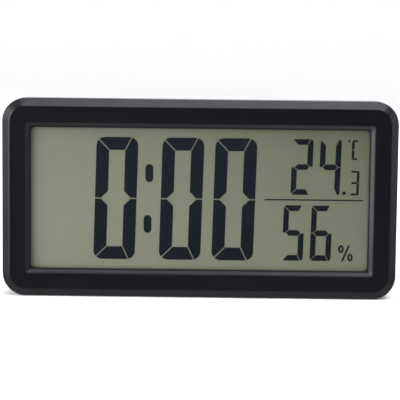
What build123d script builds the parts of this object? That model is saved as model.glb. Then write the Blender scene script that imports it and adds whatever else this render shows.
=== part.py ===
from build123d import *
from math import cos, pi, radians, sin, sqrt, tan
import os

# Thermometer hygrometer clock, in millimetres.
# The display faces -Y, +X is to the right of the reader and +Z is up.
# The origin is the middle of the footprint, on the surface that the clock stands on.

# Case
case_width = 165.0
case_height = 83.0
corner_radius = 9.8
wall = 2.0
bezel_depth = 9.0
back_taper = 1.0
back_edge = 2.2
seam_bevel = 0.3
tongue_height = 1.6
seam_clearance = 0.1
fit_gap = 0.3

# Bezel face and window
bevel_width = 3.3
bevel_depth = 2.6
bevel_softening = 0.7
face_softening = 1.1
face_band = 6.5
plate_thickness = 2.0
cavity_bevel = 1.8
window_bevel_width = 1.9
window_bevel_depth = 1.7
face_window_corner = 1.8
window_corner = 0.8

# Display stack, from the bezel plate backwards
gasket_thickness = 0.2
gasket_reveal = 0.35
gasket_corner = 2.0
lens_overlap = 2.0
lens_thickness = 0.8
lens_corner = 1.0
display_air_gap = 0.2
segment_thickness = 0.1
polarizer_thickness = 0.2
polarizer_margin = 1.6
glass_thickness = 1.1
reflector_thickness = 0.3
contact_ledge = 2.8
glass_side_gap = 0.2
seat_rib_thickness = 1.0
strip_width = 1.6
strip_side_margin = 15.0
strip_gap = 0.2

# Digits of the display, as shares of the window's width and height
lean_share = 0.026
time_digit_width_share = 0.1229
time_digit_height_share = 0.8607
time_stroke_share = 0.3075
time_bar_share = 0.1053
time_corner_share = 0.2126
time_base_share = 0.0696
time_digit_place_shares = (-0.3136, -0.1194, 0.0364)
time_seam = 0.5
small_digit_width_share = 0.0619
small_digit_height_share = 0.3909
small_stroke_share = 0.2597
small_bar_share = 0.1009
small_corner_share = 0.1436
degree_digit_place_shares = (0.2675, 0.3501)
degree_base_share = 0.5386
percent_digit_place_shares = (0.2449, 0.3272)
percent_base_share = 0.073
small_seam = 0.3
tenth_digit_width_share = 0.0279
tenth_digit_height_share = 0.1728
tenth_stroke_share = 0.2532
tenth_bar_share = 0.0825
tenth_corner_share = 0.1266
tenth_place_share = 0.4403
tenth_seam = 0.16
unit_letter_width_share = 0.0219
unit_letter_height_share = 0.1376
unit_stroke_share = 0.3226
unit_bar_share = 0.1037
unit_letter_place_shares = (0.4457, 0.7877)
degree_mark_place_shares = (0.4385, 0.9195)
degree_mark_size = 0.8
decimal_point_place_shares = (0.4255, 0.5537)
decimal_point_radius = 0.75
colon_width_share = 0.0233
colon_height_share = 0.1258
colon_place_shares = ((-0.1487, 0.6795), (-0.1532, 0.3205))
divider_end_shares = (0.1914, 0.4823)
divider_level_share = 0.5025
divider_thickness = 0.5
percent_ring_width_share = 0.0159
percent_ring_height_share = 0.0554
percent_ring_place_shares = ((0.4198, 0.158), (0.447, 0.099))
percent_slash_end_shares = ((0.4232, 0.0713), (0.4435, 0.1846))
percent_stroke = 0.75

# Bracket behind the display and its screws
bracket_thickness = 1.3
bracket_corner = 2.0
bracket_ear_radius = 2.5
bracket_window_side = 19.8
bracket_window_margin = 3.55
bracket_window_bar = 4.0
bracket_post_radius = 2.3
bracket_post_inset = 24.5
bracket_post_gap = 0.3
clip_spacing = 30.0
clip_width = 6.0
clip_thickness = 1.0
clip_lip = 0.7
clip_gap = 0.1
small_screw_radius = 0.95
small_screw_head_radius = 1.9
small_screw_head_height = 1.3
small_screw_grip = 3.3
screw_core_clearance = 0.05
screw_slot_width = 0.6
screw_slot_depth = 0.6

# Circuit board and what it carries
board_side_room = 18.5
board_top_room = 1.8
board_bottom = 8.2
board_thickness = 1.6
board_ear_radius = 2.5
blob_radius = 6.5
blob_height = 1.7
blob_edge_share = 0.8
blob_place = (-16.0, 17.3)
crystal_radius = 1.05
crystal_length = 6.0
crystal_place = (4.0, 15.3)
crystal_lead_radius = 0.2
capacitor_radius = 2.5
capacitor_height = 5.4
capacitor_x = 34.0
capacitor_drop = 8.2
resistor_length = 2.0
resistor_width = 1.25
resistor_height = 0.6
resistor_pitch = 4.0
resistor_count = 6
resistor_place = (-16.0, 5.3)
humidity_sensor_width = 6.0
humidity_sensor_height = 9.0
humidity_sensor_depth = 2.2
louvre_count = 4
temperature_bead_radius = 1.3
temperature_lead_radius = 0.25
temperature_lead_spacing = 1.4
temperature_lead_length = 4.0
sensor_gap = 6.0

# Keys in the back and their switches
key_inset = 6.0
key_bottom = 19.4
key_column_pitch = 12.4
key_row_pitch = 10.0
key_width = 9.0
key_height = 5.4
key_corner = 2.5
key_proud = 0.8
key_crown = 0.4
key_clearance = 0.3
key_flange = 1.2
key_flange_thickness = 0.8
key_stem = 3.2
key_travel = 0.5
switch_size = 6.0
switch_body_height = 3.5
switch_corner = 0.5
switch_cap_bevel = 0.3
plunger_radius = 1.6
plunger_clearance = 0.08
plunger_proud = 1.1
plunger_sunk = 0.9

# Battery bay, door and cells
cell_length = 44.5
cell_radius = 5.25
cell_nub_length = 0.9
cell_nub_radius = 1.9
cell_edge = 0.4
cell_gap = 0.4
cell_floor_gap = 0.35
spring_space = 4.6
contact_thickness = 0.4
bay_top_room = 7.6
bay_wall = 3.2
bay_floor_thickness = 1.6
bay_cradle_length_share = 0.5
bay_cradle_height = 1.3
bay_cradle_width = 1.6
door_thickness = 1.6
door_ledge = 1.8
door_clearance = 0.25
door_corner = 1.5
door_rib_height = 0.6
door_rib_width = 1.2
tab_spacing = 36.0
tab_width = 8.0
tab_thickness = 1.4
tab_reach = 2.0
tab_gap = 0.45
tab_play = 0.15
tab_root = 1.8
tab_pocket_depth = 4.6
latch_width = 12.0
latch_reach = 2.1
latch_depth = 3.4
latch_leg = 1.0
latch_gap = 0.35
latch_wall = 1.4
latch_rounding = 0.4
grip_count = 5
grip_pitch = 2.0
grip_height = 0.35
grip_width = 0.9
grip_length_share = 0.22

# Contacts and leads
contact_width = 9.0
contact_height = 8.6
dimple_radius = 2.2
dimple_height = 0.5
spring_wire_radius = 0.3
spring_foot_radius = 3.4
spring_tip_radius = 2.1
spring_turn_count = 4
spring_step_count = 2
contact_tab_width = 2.4
contact_tab_reach = 1.2
contact_slot_gap = 0.1
spring_gap = 0.02
spring_sink = 0.12
spring_gap_point_count = 24
lead_radius = 0.55
lead_gap = 0.05
lead_landing_depth = 4.0
lead_side_room = 5.6
lead_pitch = 4.0
lead_room = 1.75
lead_edge_room = 1.2
arc_share = 0.45
lead_turn_shares = (0.55, 0.4, 0.6)

# Stand
stand_width = 44.0
stand_tip_width = 34.0
stand_top_room = 2.0
stand_thickness = 2.4
stand_tip_corner = 4.0
stand_clearance = 0.4
stand_sink = 0.2
stand_rim = 2.2
stand_pocket_depth = 1.2
stand_rib = 1.4
stand_hinge_level = 12.6
stand_barrel_radius = 2.5
stand_pin_radius = 1.0
stand_pin_clearance = 0.05
stand_recess_drop = 3.6
stand_recess_wall = 1.6
stand_notch_width = 14.0
stand_notch_height = 3.0
stand_notch_corner = 2.5
stand_knuckle_length = 10.0
stand_cheek = 2.8
stand_cheek_radius = 2.6
stand_pin_inset = 0.6

# Keyholes for hanging
keyhole_inset = 27.5
keyhole_drop = 19.0
keyhole_entry_radius = 3.75
keyhole_slot_radius = 1.9
keyhole_slot_length = 6.0
keyhole_pocket_depth = 4.2
keyhole_pocket_wall = 1.2
keyhole_side_room = 1.4

# Vents over the sensors
vent_count = 6
vent_pitch = 3.4
vent_width = 1.5
vent_height = 18.0
vent_inset = 9.0
vent_rise = 3.8
vent_recess = 0.6
vent_margin = 2.0
duct_wall = 1.0
duct_gap = 0.4

# Case screws
case_screw_inset = 6.6
case_boss_radius = 2.7
case_boss_gap = 0.1
case_screw_radius = 1.15
case_screw_head_radius = 2.1
case_screw_head_height = 1.6
case_screw_length = 9.0
case_screw_tube_radius = 3.4
case_screw_clearance = 0.25
case_screw_floor = 2.0
case_screw_core_room = 0.6
case_boss_reach = 3.5
boss_rib_thickness = 1.0
boss_rib_height_share = 0.6
back_rib_thickness = 1.2
back_rib_height = 3.0
back_rib_inset = 14.4

# Depths worked out from the sizes above, along Y. The case is as deep as what it holds.
display_depth = (plate_thickness + gasket_thickness + lens_thickness + display_air_gap
                 + segment_thickness + polarizer_thickness + 2 * glass_thickness
                 + reflector_thickness + bracket_thickness)
bay_depth = (bay_floor_thickness + cell_floor_gap + 2 * cell_radius + fit_gap + door_rib_height
             + door_thickness)
case_depth = display_depth + lead_room + bay_depth
front_y = -(case_depth + key_proud) / 2
back_y = front_y + case_depth
parting_y = front_y + bezel_depth
plate_back_y = front_y + plate_thickness
window_land_y = front_y + window_bevel_depth
gasket_back_y = plate_back_y + gasket_thickness
lens_back_y = gasket_back_y + lens_thickness
segment_front_y = lens_back_y + display_air_gap
polarizer_front_y = segment_front_y + segment_thickness
front_glass_y = polarizer_front_y + polarizer_thickness
rear_glass_y = front_glass_y + glass_thickness
reflector_y = rear_glass_y + glass_thickness
bracket_y = reflector_y + reflector_thickness
board_y = bracket_y + bracket_thickness
board_back_y = board_y + board_thickness
back_wall_y = back_y - wall
case_tube_y = parting_y + case_boss_reach
case_screw_seat_y = case_tube_y + case_screw_floor

# Widths and levels worked out from the sizes above
mid_z = case_height / 2
cavity_width = case_width - 2 * wall
cavity_height = case_height - 2 * wall
face_window_width = case_width - 2 * (bevel_width + face_band)
face_window_height = case_height - 2 * (bevel_width + face_band)
window_width = face_window_width - 2 * window_bevel_width
window_height = face_window_height - 2 * window_bevel_width
window_bottom = mid_z - window_height / 2
lens_width = window_width + 2 * lens_overlap
lens_height = window_height + 2 * lens_overlap
glass_width = lens_width - 2 * glass_side_gap
glass_top = mid_z + lens_height / 2 - glass_side_gap
rear_glass_bottom = window_bottom - gasket_thickness
glass_bottom = rear_glass_bottom - contact_ledge
seat_width = glass_width + 2 * glass_side_gap
seat_top = glass_top + glass_side_gap
seat_bottom = glass_bottom - glass_side_gap
seat_height = seat_top - seat_bottom
seat_level = (seat_top + seat_bottom) / 2
bracket_width = seat_width + 2 * seat_rib_thickness
bracket_height = seat_height + 2 * seat_rib_thickness
lower_post_level = seat_bottom - seat_rib_thickness - bracket_post_gap - bracket_post_radius
upper_post_level = seat_top + seat_rib_thickness + bracket_post_gap + bracket_post_radius
half_post_spacing = case_width / 2 - bracket_post_inset
lower_posts = ((-half_post_spacing, lower_post_level), (half_post_spacing, lower_post_level))
upper_posts = ((-half_post_spacing, upper_post_level), (half_post_spacing, upper_post_level))
screw_x = case_width / 2 - case_screw_inset
screw_low = case_screw_inset
screw_high = case_height - case_screw_inset
case_screw_places = (
    (-screw_x, screw_low),
    (screw_x, screw_low),
    (-screw_x, screw_high),
    (screw_x, screw_high),
)

# Battery bay, worked out
bay_length = cell_length + spring_space + dimple_height + 2 * contact_thickness
bay_height = 4 * cell_radius + 3 * cell_gap
bay_top = case_height - bay_top_room
bay_bottom = bay_top - bay_height
bay_level = (bay_bottom + bay_top) / 2
door_seat_y = back_y - door_thickness
cell_y = door_seat_y - door_rib_height - fit_gap - cell_radius
bay_floor_y = cell_y - cell_radius - cell_floor_gap
bay_back_y = bay_floor_y - bay_floor_thickness
upper_cell_level = bay_top - cell_gap - cell_radius
lower_cell_level = bay_bottom + cell_gap + cell_radius
door_width = bay_length + 2 * door_ledge
door_height = bay_height + 2 * door_ledge
door_bottom = bay_bottom - door_ledge
door_top = bay_top + door_ledge
cell_tip_x = bay_length / 2 - contact_thickness - dimple_height
cell_foot_x = cell_tip_x - cell_length
plate_face_x = bay_length / 2 - contact_thickness

# Board, keys and vents, worked out
board_width = case_width - 2 * board_side_room
board_top = bay_bottom - bay_wall - board_top_room
board_height = board_top - board_bottom
board_level = board_bottom + board_height / 2
key_x = -board_width / 2 + key_inset
vent_x = board_width / 2 - vent_inset
vent_level = board_level + vent_rise
keyhole_level = case_height - keyhole_drop
lead_landing_x = bay_length / 2 + bay_wall + lead_side_room

# Stand, worked out
stand_hinge_y = back_y - stand_sink - stand_barrel_radius
stand_floor_y = stand_hinge_y - stand_barrel_radius - fit_gap
stand_recess_bottom = stand_hinge_level - stand_recess_drop
stand_recess_top = door_bottom - stand_top_room - stand_notch_height
stand_length = stand_recess_top - stand_clearance - stand_hinge_level
stand_recess_width = stand_width + 2 * stand_clearance
stand_recess_tip_width = stand_tip_width + 2 * stand_clearance


def facing(y):
    """Sketch plane at depth y as the reader sees it, with X to the right and Z up."""
    return Plane(origin=(0, y, 0), x_dir=(1, 0, 0), z_dir=(0, -1, 0))


def across(x):
    """Sketch plane at position x, with local x along Y and local y along Z."""
    return Plane(origin=(x, 0, 0), x_dir=(0, 1, 0), z_dir=(1, 0, 0))


# Display digits


def segment_outlines(width, height, stroke, bar):
    """Corner points of the seven strokes of one upright digit, by letter."""
    middle = height / 2
    half_bar = bar / 2
    half_stroke = stroke / 2
    left_notch = (half_stroke, middle)
    right_notch = (width - half_stroke, middle)
    return {
        "top": ((0, height), (width - half_stroke, height), (width - stroke, height - bar),
                (stroke, height - bar)),
        "upper_right": ((width - half_stroke, height), (width, height), (width, middle),
                        right_notch, (width - stroke, middle + half_bar),
                        (width - stroke, height - bar)),
        "lower_right": ((width, middle), (width, 0), (width - half_stroke, 0),
                        (width - stroke, bar), (width - stroke, middle - half_bar), right_notch),
        "bottom": ((0, 0), (stroke, bar), (width - stroke, bar), (width - half_stroke, 0)),
        "lower_left": ((0, 0), (0, middle), left_notch, (stroke, middle - half_bar),
                       (stroke, bar)),
        "upper_left": ((0, height), (stroke, height - bar), (stroke, middle + half_bar),
                       left_notch, (0, middle)),
        "middle": (left_notch, (stroke, middle + half_bar), (width - stroke, middle + half_bar),
                   right_notch, (width - stroke, middle - half_bar),
                   (stroke, middle - half_bar)),
    }


def segment_seams(width, height, stroke, bar):
    """Lines between neighbouring strokes, where the digit is left clear."""
    middle = height / 2
    half_bar = bar / 2
    half_stroke = stroke / 2
    return (
        ((-stroke, height + bar), (stroke, height - bar)),
        ((-stroke, -bar), (stroke, bar)),
        ((width, height + bar), (width - stroke, height - bar)),
        ((width, -bar), (width - stroke, bar)),
        ((-stroke, middle), (half_stroke, middle)),
        ((half_stroke, middle), (stroke, middle + half_bar)),
        ((half_stroke, middle), (stroke, middle - half_bar)),
        ((width + stroke, middle), (width - half_stroke, middle)),
        ((width - half_stroke, middle), (width - stroke, middle + half_bar)),
        ((width - half_stroke, middle), (width - stroke, middle - half_bar)),
    )


lit_strokes = {
    "0": ("top", "upper_right", "lower_right", "bottom", "lower_left", "upper_left"),
    "2": ("top", "upper_right", "middle", "lower_left", "bottom"),
    "3": ("top", "upper_right", "middle", "lower_right", "bottom"),
    "4": ("upper_left", "middle", "upper_right", "lower_right"),
    "5": ("top", "upper_left", "middle", "lower_right", "bottom"),
    "6": ("top", "upper_left", "middle", "lower_right", "bottom", "lower_left"),
    "C": ("top", "upper_left", "lower_left", "bottom"),
}


def leaning(point):
    """The point moved sideways by the lean of the digits."""
    across_x, up_z = point
    return (across_x + lean_share * up_z, up_z)


def digit(character, width, height, stroke, bar, seam, corner):
    """One leaning seven-stroke character, its lower left corner at the sketch origin."""
    with BuildSketch() as outline:
        with BuildLine():
            Polyline(*[leaning(p) for p in ((0, 0), (width, 0), (width, height), (0, height))],
                     close=True)
        make_face()
        fillet(outline.vertices(), corner)
    with BuildSketch() as strokes:
        outlines = segment_outlines(width, height, stroke, bar)
        for name in lit_strokes[character]:
            with BuildLine():
                Polyline(*[leaning(p) for p in outlines[name]], close=True)
            make_face()
        add(outline.sketch, mode=Mode.INTERSECT)
        for start, end in segment_seams(width, height, stroke, bar):
            with BuildLine():
                Line(leaning(start), leaning(end))
            trace(line_width=seam, mode=Mode.SUBTRACT)
    return strokes.sketch


def on_window(place_shares):
    """Place on the window whose shares of its width and height are given, X from its middle."""
    x_share, z_share = place_shares
    return (window_width * x_share, window_bottom + window_height * z_share)


def time_digit(character):
    """One of the large digits of the time."""
    width = window_width * time_digit_width_share
    height = window_height * time_digit_height_share
    return digit(character, width, height, width * time_stroke_share, height * time_bar_share,
                 time_seam, width * time_corner_share)


def small_digit(character):
    """One of the digits of the temperature and the humidity."""
    width = window_width * small_digit_width_share
    height = window_height * small_digit_height_share
    return digit(character, width, height, width * small_stroke_share, height * small_bar_share,
                 small_seam, width * small_corner_share)


def tenth_digit(character):
    """The small digit of the tenths of a degree."""
    width = window_width * tenth_digit_width_share
    height = window_height * tenth_digit_height_share
    return digit(character, width, height, width * tenth_stroke_share, height * tenth_bar_share,
                 tenth_seam, width * tenth_corner_share)


def unit_letter(character):
    """The letter of the temperature's unit."""
    width = window_width * unit_letter_width_share
    height = window_height * unit_letter_height_share
    return digit(character, width, height, width * unit_stroke_share, height * unit_bar_share,
                 tenth_seam, width * tenth_corner_share)


with BuildPart() as lcd_segments:
    with BuildSketch(facing(polarizer_front_y)):
        zero = time_digit("0")
        with Locations(*[on_window((share, time_base_share)) for share in time_digit_place_shares]):
            add(zero)
        for share, character in zip(degree_digit_place_shares, "24"):
            with Locations(on_window((share, degree_base_share))):
                add(small_digit(character))
        for share, character in zip(percent_digit_place_shares, "56"):
            with Locations(on_window((share, percent_base_share))):
                add(small_digit(character))
        with Locations(on_window((tenth_place_share, degree_base_share))):
            add(tenth_digit("3"))
        with Locations(on_window(unit_letter_place_shares)):
            add(unit_letter("C"))
        with Locations(*[on_window(shares) for shares in colon_place_shares]):
            SlotOverall(window_height * colon_height_share, window_width * colon_width_share,
                        rotation=90)
        with Locations(on_window(degree_mark_place_shares)):
            Rectangle(degree_mark_size, degree_mark_size)
        with Locations(on_window(decimal_point_place_shares)):
            Circle(decimal_point_radius)
        with BuildLine():
            Line(*[on_window((share, divider_level_share)) for share in divider_end_shares])
        trace(line_width=divider_thickness)
        ring_x = window_width * percent_ring_width_share / 2
        ring_z = window_height * percent_ring_height_share / 2
        with Locations(*[on_window(shares) for shares in percent_ring_place_shares]):
            Ellipse(ring_x, ring_z)
            Ellipse(ring_x - percent_stroke, ring_z - percent_stroke, mode=Mode.SUBTRACT)
        with BuildLine():
            Line(*[on_window(shares) for shares in percent_slash_end_shares])
        trace(line_width=percent_stroke)
    extrude(amount=segment_thickness)
lcd_segments.part.label = "lcd_segments"

# Bezel

with BuildPart() as front_bezel:
    with BuildSketch(facing(parting_y)):
        with Locations((0, mid_z)):
            RectangleRounded(case_width, case_height, corner_radius)
    extrude(amount=bezel_depth)
    rim = front_bezel.faces().sort_by(Axis.Y)[-1]
    chamfer(rim.edges(), seam_bevel)
    face = front_bezel.faces().sort_by(Axis.Y)[0]
    chamfer(face.edges(), bevel_width, bevel_depth, reference=face)
    bevel_back_y = front_y + bevel_depth
    fillet(front_bezel.edges().filter_by_position(Axis.Y, bevel_back_y, bevel_back_y),
           bevel_softening)
    fillet(front_bezel.edges().filter_by_position(Axis.Y, front_y, front_y), face_softening)
    with BuildSketch(facing(parting_y)):
        with Locations((0, mid_z)):
            RectangleRounded(cavity_width, cavity_height, corner_radius - wall)
    extrude(amount=bezel_depth - plate_thickness, mode=Mode.SUBTRACT)
    plate_back = front_bezel.faces().filter_by(Axis.Y).sort_by(Axis.Y)[1]
    chamfer(plate_back.edges(), cavity_bevel)
    with BuildSketch(facing(front_y)):
        with Locations((0, mid_z)):
            RectangleRounded(face_window_width, face_window_height, face_window_corner)
    with BuildSketch(facing(window_land_y)):
        with Locations((0, mid_z)):
            RectangleRounded(window_width, window_height, window_corner)
    loft(mode=Mode.SUBTRACT)
    with BuildSketch(facing(plate_back_y)):
        with Locations((0, mid_z)):
            RectangleRounded(window_width, window_height, window_corner)
    extrude(amount=plate_thickness, mode=Mode.SUBTRACT)
    # tongue that enters the rear cover
    with BuildSketch(facing(parting_y + tongue_height)):
        with Locations((0, mid_z)):
            RectangleRounded(case_width - wall - 2 * seam_clearance,
                             case_height - wall - 2 * seam_clearance,
                             corner_radius - wall / 2 - seam_clearance)
            RectangleRounded(cavity_width, cavity_height, corner_radius - wall, mode=Mode.SUBTRACT)
    extrude(amount=tongue_height)
    # rib that locates the lens and the display glass
    with BuildSketch(facing(bracket_y)):
        with Locations((0, seat_level)):
            Rectangle(bracket_width, bracket_height)
            Rectangle(seat_width, seat_height, mode=Mode.SUBTRACT)
    extrude(amount=bracket_y - plate_back_y)
    # posts for the bracket and board screws
    with BuildSketch(facing(bracket_y)):
        with Locations(*lower_posts, *upper_posts):
            Circle(bracket_post_radius)
    extrude(amount=bracket_y - plate_back_y)
    # bosses for the case screws, braced to the side walls
    with BuildSketch(facing(case_tube_y - case_boss_gap)):
        with Locations(*case_screw_places):
            Circle(case_boss_radius)
    extrude(amount=case_tube_y - case_boss_gap - plate_back_y)
    for x, z in case_screw_places:
        side = 1 if x > 0 else -1
        brace_length = case_screw_inset - wall / 2
        with BuildSketch(facing(parting_y - fit_gap)):
            with Locations((x + side * brace_length / 2, z)):
                Rectangle(brace_length, boss_rib_thickness)
        extrude(amount=(bezel_depth - plate_thickness) * boss_rib_height_share)
    # screw cores
    with BuildSketch(facing(case_tube_y - case_boss_gap)):
        with Locations(*case_screw_places):
            Circle(case_screw_radius + screw_core_clearance)
    extrude(amount=case_screw_length - case_screw_floor + case_screw_core_room, mode=Mode.SUBTRACT)
    with BuildSketch(facing(bracket_y)):
        with Locations(*lower_posts, *upper_posts):
            Circle(small_screw_radius + screw_core_clearance)
    extrude(amount=bracket_y - plate_back_y, mode=Mode.SUBTRACT)
front_bezel.part.label = "front_bezel"

# Display stack


def pane(pane_front_y, thickness, width, bottom, top):
    """Flat rectangular pane that reaches back from the given depth."""
    with BuildPart() as sheet:
        with BuildSketch(facing(pane_front_y + thickness)):
            with Locations((0, (bottom + top) / 2)):
                Rectangle(width, top - bottom)
        extrude(amount=thickness)
    return sheet


with BuildPart() as lens_gasket:
    with BuildSketch(facing(gasket_back_y)):
        with Locations((0, mid_z)):
            Rectangle(lens_width, lens_height)
            RectangleRounded(window_width - 2 * gasket_reveal, window_height - 2 * gasket_reveal,
                             gasket_corner, mode=Mode.SUBTRACT)
    extrude(amount=gasket_thickness)
lens_gasket.part.label = "lens_gasket"

with BuildPart() as display_lens:
    with BuildSketch(facing(lens_back_y)):
        with Locations((0, mid_z)):
            RectangleRounded(lens_width, lens_height, lens_corner)
    extrude(amount=lens_thickness)
display_lens.part.label = "display_lens"

lcd_polarizer = pane(polarizer_front_y, polarizer_thickness, glass_width - polarizer_margin,
                     rear_glass_bottom - polarizer_margin / 2, glass_top - polarizer_margin / 2)
lcd_polarizer.part.label = "lcd_polarizer"
lcd_front_glass = pane(front_glass_y, glass_thickness, glass_width, glass_bottom, glass_top)
lcd_front_glass.part.label = "lcd_front_glass"
lcd_rear_glass = pane(rear_glass_y, glass_thickness, glass_width, rear_glass_bottom, glass_top)
lcd_rear_glass.part.label = "lcd_rear_glass"
lcd_reflector = pane(reflector_y, reflector_thickness, glass_width, rear_glass_bottom, glass_top)
lcd_reflector.part.label = "lcd_reflector"

strip_level = (glass_bottom + rear_glass_bottom) / 2
strip_length = glass_width - 2 * strip_side_margin

with BuildPart() as elastomer_strip:
    with BuildSketch(facing(board_y)):
        with Locations((0, strip_level)):
            Rectangle(strip_length, strip_width)
    extrude(amount=board_y - rear_glass_y)
elastomer_strip.part.label = "elastomer_strip"

# Bracket behind the display

with BuildPart() as display_bracket:
    with BuildSketch(facing(board_y)):
        with Locations((0, seat_level)):
            RectangleRounded(bracket_width, bracket_height, bracket_corner)
        for x, z in lower_posts + upper_posts:
            edge_z = max(seat_level - bracket_height / 2, min(z, seat_level + bracket_height / 2))
            with Locations((x, z)):
                Circle(bracket_ear_radius)
            with Locations((x, (z + edge_z) / 2)):
                Rectangle(2 * bracket_ear_radius, abs(z - edge_z) + bracket_corner)
        with Locations((0, strip_level)):
            Rectangle(strip_length + 2 * strip_gap, strip_width + 2 * strip_gap, mode=Mode.SUBTRACT)
        with Locations(*lower_posts, *upper_posts):
            Circle(small_screw_radius + case_screw_clearance, mode=Mode.SUBTRACT)
        opening_width = bracket_width / 2 - bracket_window_side - bracket_window_bar / 2
        opening_height = seat_top - board_top - 2 * bracket_window_margin
        with Locations((0, (board_top + seat_top) / 2)):
            with GridLocations(opening_width + bracket_window_bar, 0, 2, 1):
                RectangleRounded(opening_width, opening_height, bracket_corner,
                                 mode=Mode.SUBTRACT)
    extrude(amount=bracket_thickness)
    # clips over the top edge of the board
    clip_back_y = board_back_y + clip_gap + clip_thickness
    for x in (-clip_spacing / 2, clip_spacing / 2):
        with BuildSketch(across(x + clip_width / 2)):
            with BuildLine():
                Polyline((board_y - bracket_thickness / 2, board_top + clip_gap),
                         (board_back_y + clip_gap, board_top + clip_gap),
                         (board_back_y + clip_gap, board_top - clip_lip),
                         (clip_back_y, board_top + clip_gap),
                         (clip_back_y, board_top + clip_gap + clip_thickness),
                         (board_y - bracket_thickness / 2, board_top + clip_gap + clip_thickness),
                         close=True)
            make_face()
        extrude(amount=-clip_width)
display_bracket.part.label = "display_bracket"

# Circuit board and the parts on it

key_places = [(x, z) for z in (key_bottom + key_row_pitch, key_bottom)
              for x in (key_x + key_column_pitch, key_x)]

with BuildPart() as main_board:
    with BuildSketch(facing(board_back_y)):
        with Locations((0, board_level)):
            Rectangle(board_width, board_height)
        for x, z in lower_posts:
            with Locations((x, z)):
                Circle(board_ear_radius)
            with Locations((x, (z + board_bottom) / 2)):
                Rectangle(2 * board_ear_radius, board_bottom - z)
        with Locations(*lower_posts):
            Circle(small_screw_radius + case_screw_clearance, mode=Mode.SUBTRACT)
    extrude(amount=board_thickness)
main_board.part.label = "main_board"

blob_x, blob_rise = blob_place
with BuildPart() as controller_blob:
    with BuildSketch(facing(board_back_y)):
        with Locations((blob_x, board_bottom + blob_rise)):
            Circle(blob_radius)
    extrude(amount=-blob_height)
    fillet(controller_blob.edges().sort_by(Axis.Y)[-1], blob_height * blob_edge_share)
controller_blob.part.label = "controller_blob"

crystal_x, crystal_rise = crystal_place
crystal_z = board_bottom + crystal_rise
with BuildPart() as clock_crystal:
    with BuildSketch(across(crystal_x)):
        with Locations((board_back_y + crystal_radius, crystal_z)):
            Circle(crystal_radius)
    extrude(amount=crystal_length)
    chamfer(clock_crystal.edges().sort_by(Axis.X)[-1], crystal_radius / 4)
    with BuildSketch(across(crystal_x)):
        with Locations((board_back_y + crystal_radius, crystal_z)):
            with GridLocations(0, crystal_radius, 1, 2):
                Circle(crystal_lead_radius)
    extrude(amount=-crystal_radius)
clock_crystal.part.label = "clock_crystal"

with BuildPart() as board_capacitor:
    with BuildSketch(facing(board_back_y)):
        with Locations((capacitor_x, board_top - capacitor_drop)):
            Circle(capacitor_radius)
    extrude(amount=-capacitor_height)
    chamfer(board_capacitor.edges().sort_by(Axis.Y)[-1], capacitor_radius / 6)
board_capacitor.part.label = "board_capacitor"

resistor_x, resistor_rise = resistor_place
with BuildPart() as chip_resistors:
    with BuildSketch(facing(board_back_y)):
        with Locations((resistor_x, board_bottom + resistor_rise)):
            with GridLocations(resistor_pitch, 0, resistor_count, 1):
                Rectangle(resistor_width, resistor_length)
    extrude(amount=-resistor_height)
chip_resistors.part.label = "chip_resistors"

sensor_x = vent_x - sensor_gap / 2
bead_x = vent_x + sensor_gap

with BuildPart() as humidity_sensor:
    with BuildSketch(facing(board_back_y)):
        with Locations((sensor_x, vent_level)):
            Rectangle(humidity_sensor_width, humidity_sensor_height)
    extrude(amount=-humidity_sensor_depth)
    # louvres of the sensor's cap
    louvre_pitch = humidity_sensor_height / (louvre_count + 1)
    with BuildSketch(facing(board_back_y + humidity_sensor_depth)):
        with Locations((sensor_x, vent_level)):
            with GridLocations(0, louvre_pitch, 1, louvre_count):
                SlotOverall(humidity_sensor_width - louvre_pitch, louvre_pitch / 2)
    extrude(amount=humidity_sensor_depth / 2, mode=Mode.SUBTRACT)
humidity_sensor.part.label = "humidity_sensor"

with BuildPart() as temperature_sensor:
    bead_y = board_back_y + temperature_lead_length
    with BuildSketch(facing(bead_y)):
        with Locations((bead_x, vent_level)):
            with GridLocations(temperature_lead_spacing, 0, 2, 1):
                Circle(temperature_lead_radius)
    extrude(amount=temperature_lead_length)
    with Locations((bead_x, bead_y, vent_level)):
        Sphere(temperature_bead_radius)
temperature_sensor.part.label = "temperature_sensor"

# Switches and keys

switch_top_y = board_back_y + switch_body_height
plunger_top_y = switch_top_y + plunger_proud
plunger_foot_y = switch_top_y - plunger_sunk

with BuildPart() as key_switches:
    with BuildSketch(facing(board_back_y)):
        with Locations(*key_places):
            RectangleRounded(switch_size, switch_size, switch_corner)
    extrude(amount=-switch_body_height)
    switch_tops = key_switches.faces().filter_by(Axis.Y).group_by(Axis.Y)[-1]
    chamfer(switch_tops.edges(), switch_cap_bevel)
    with BuildSketch(facing(switch_top_y)):
        with Locations(*key_places):
            Circle(plunger_radius + plunger_clearance)
    extrude(amount=plunger_sunk + key_travel + fit_gap, mode=Mode.SUBTRACT)
key_switches.part.label = "key_switches"


def plunger(place):
    """Round plunger of the switch at the given place."""
    with BuildPart() as piece:
        with BuildSketch(facing(plunger_foot_y)):
            with Locations(place):
                Circle(plunger_radius)
        extrude(amount=-(plunger_proud + plunger_sunk))
        chamfer(piece.edges().sort_by(Axis.Y)[-1], switch_cap_bevel)
    return piece


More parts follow.
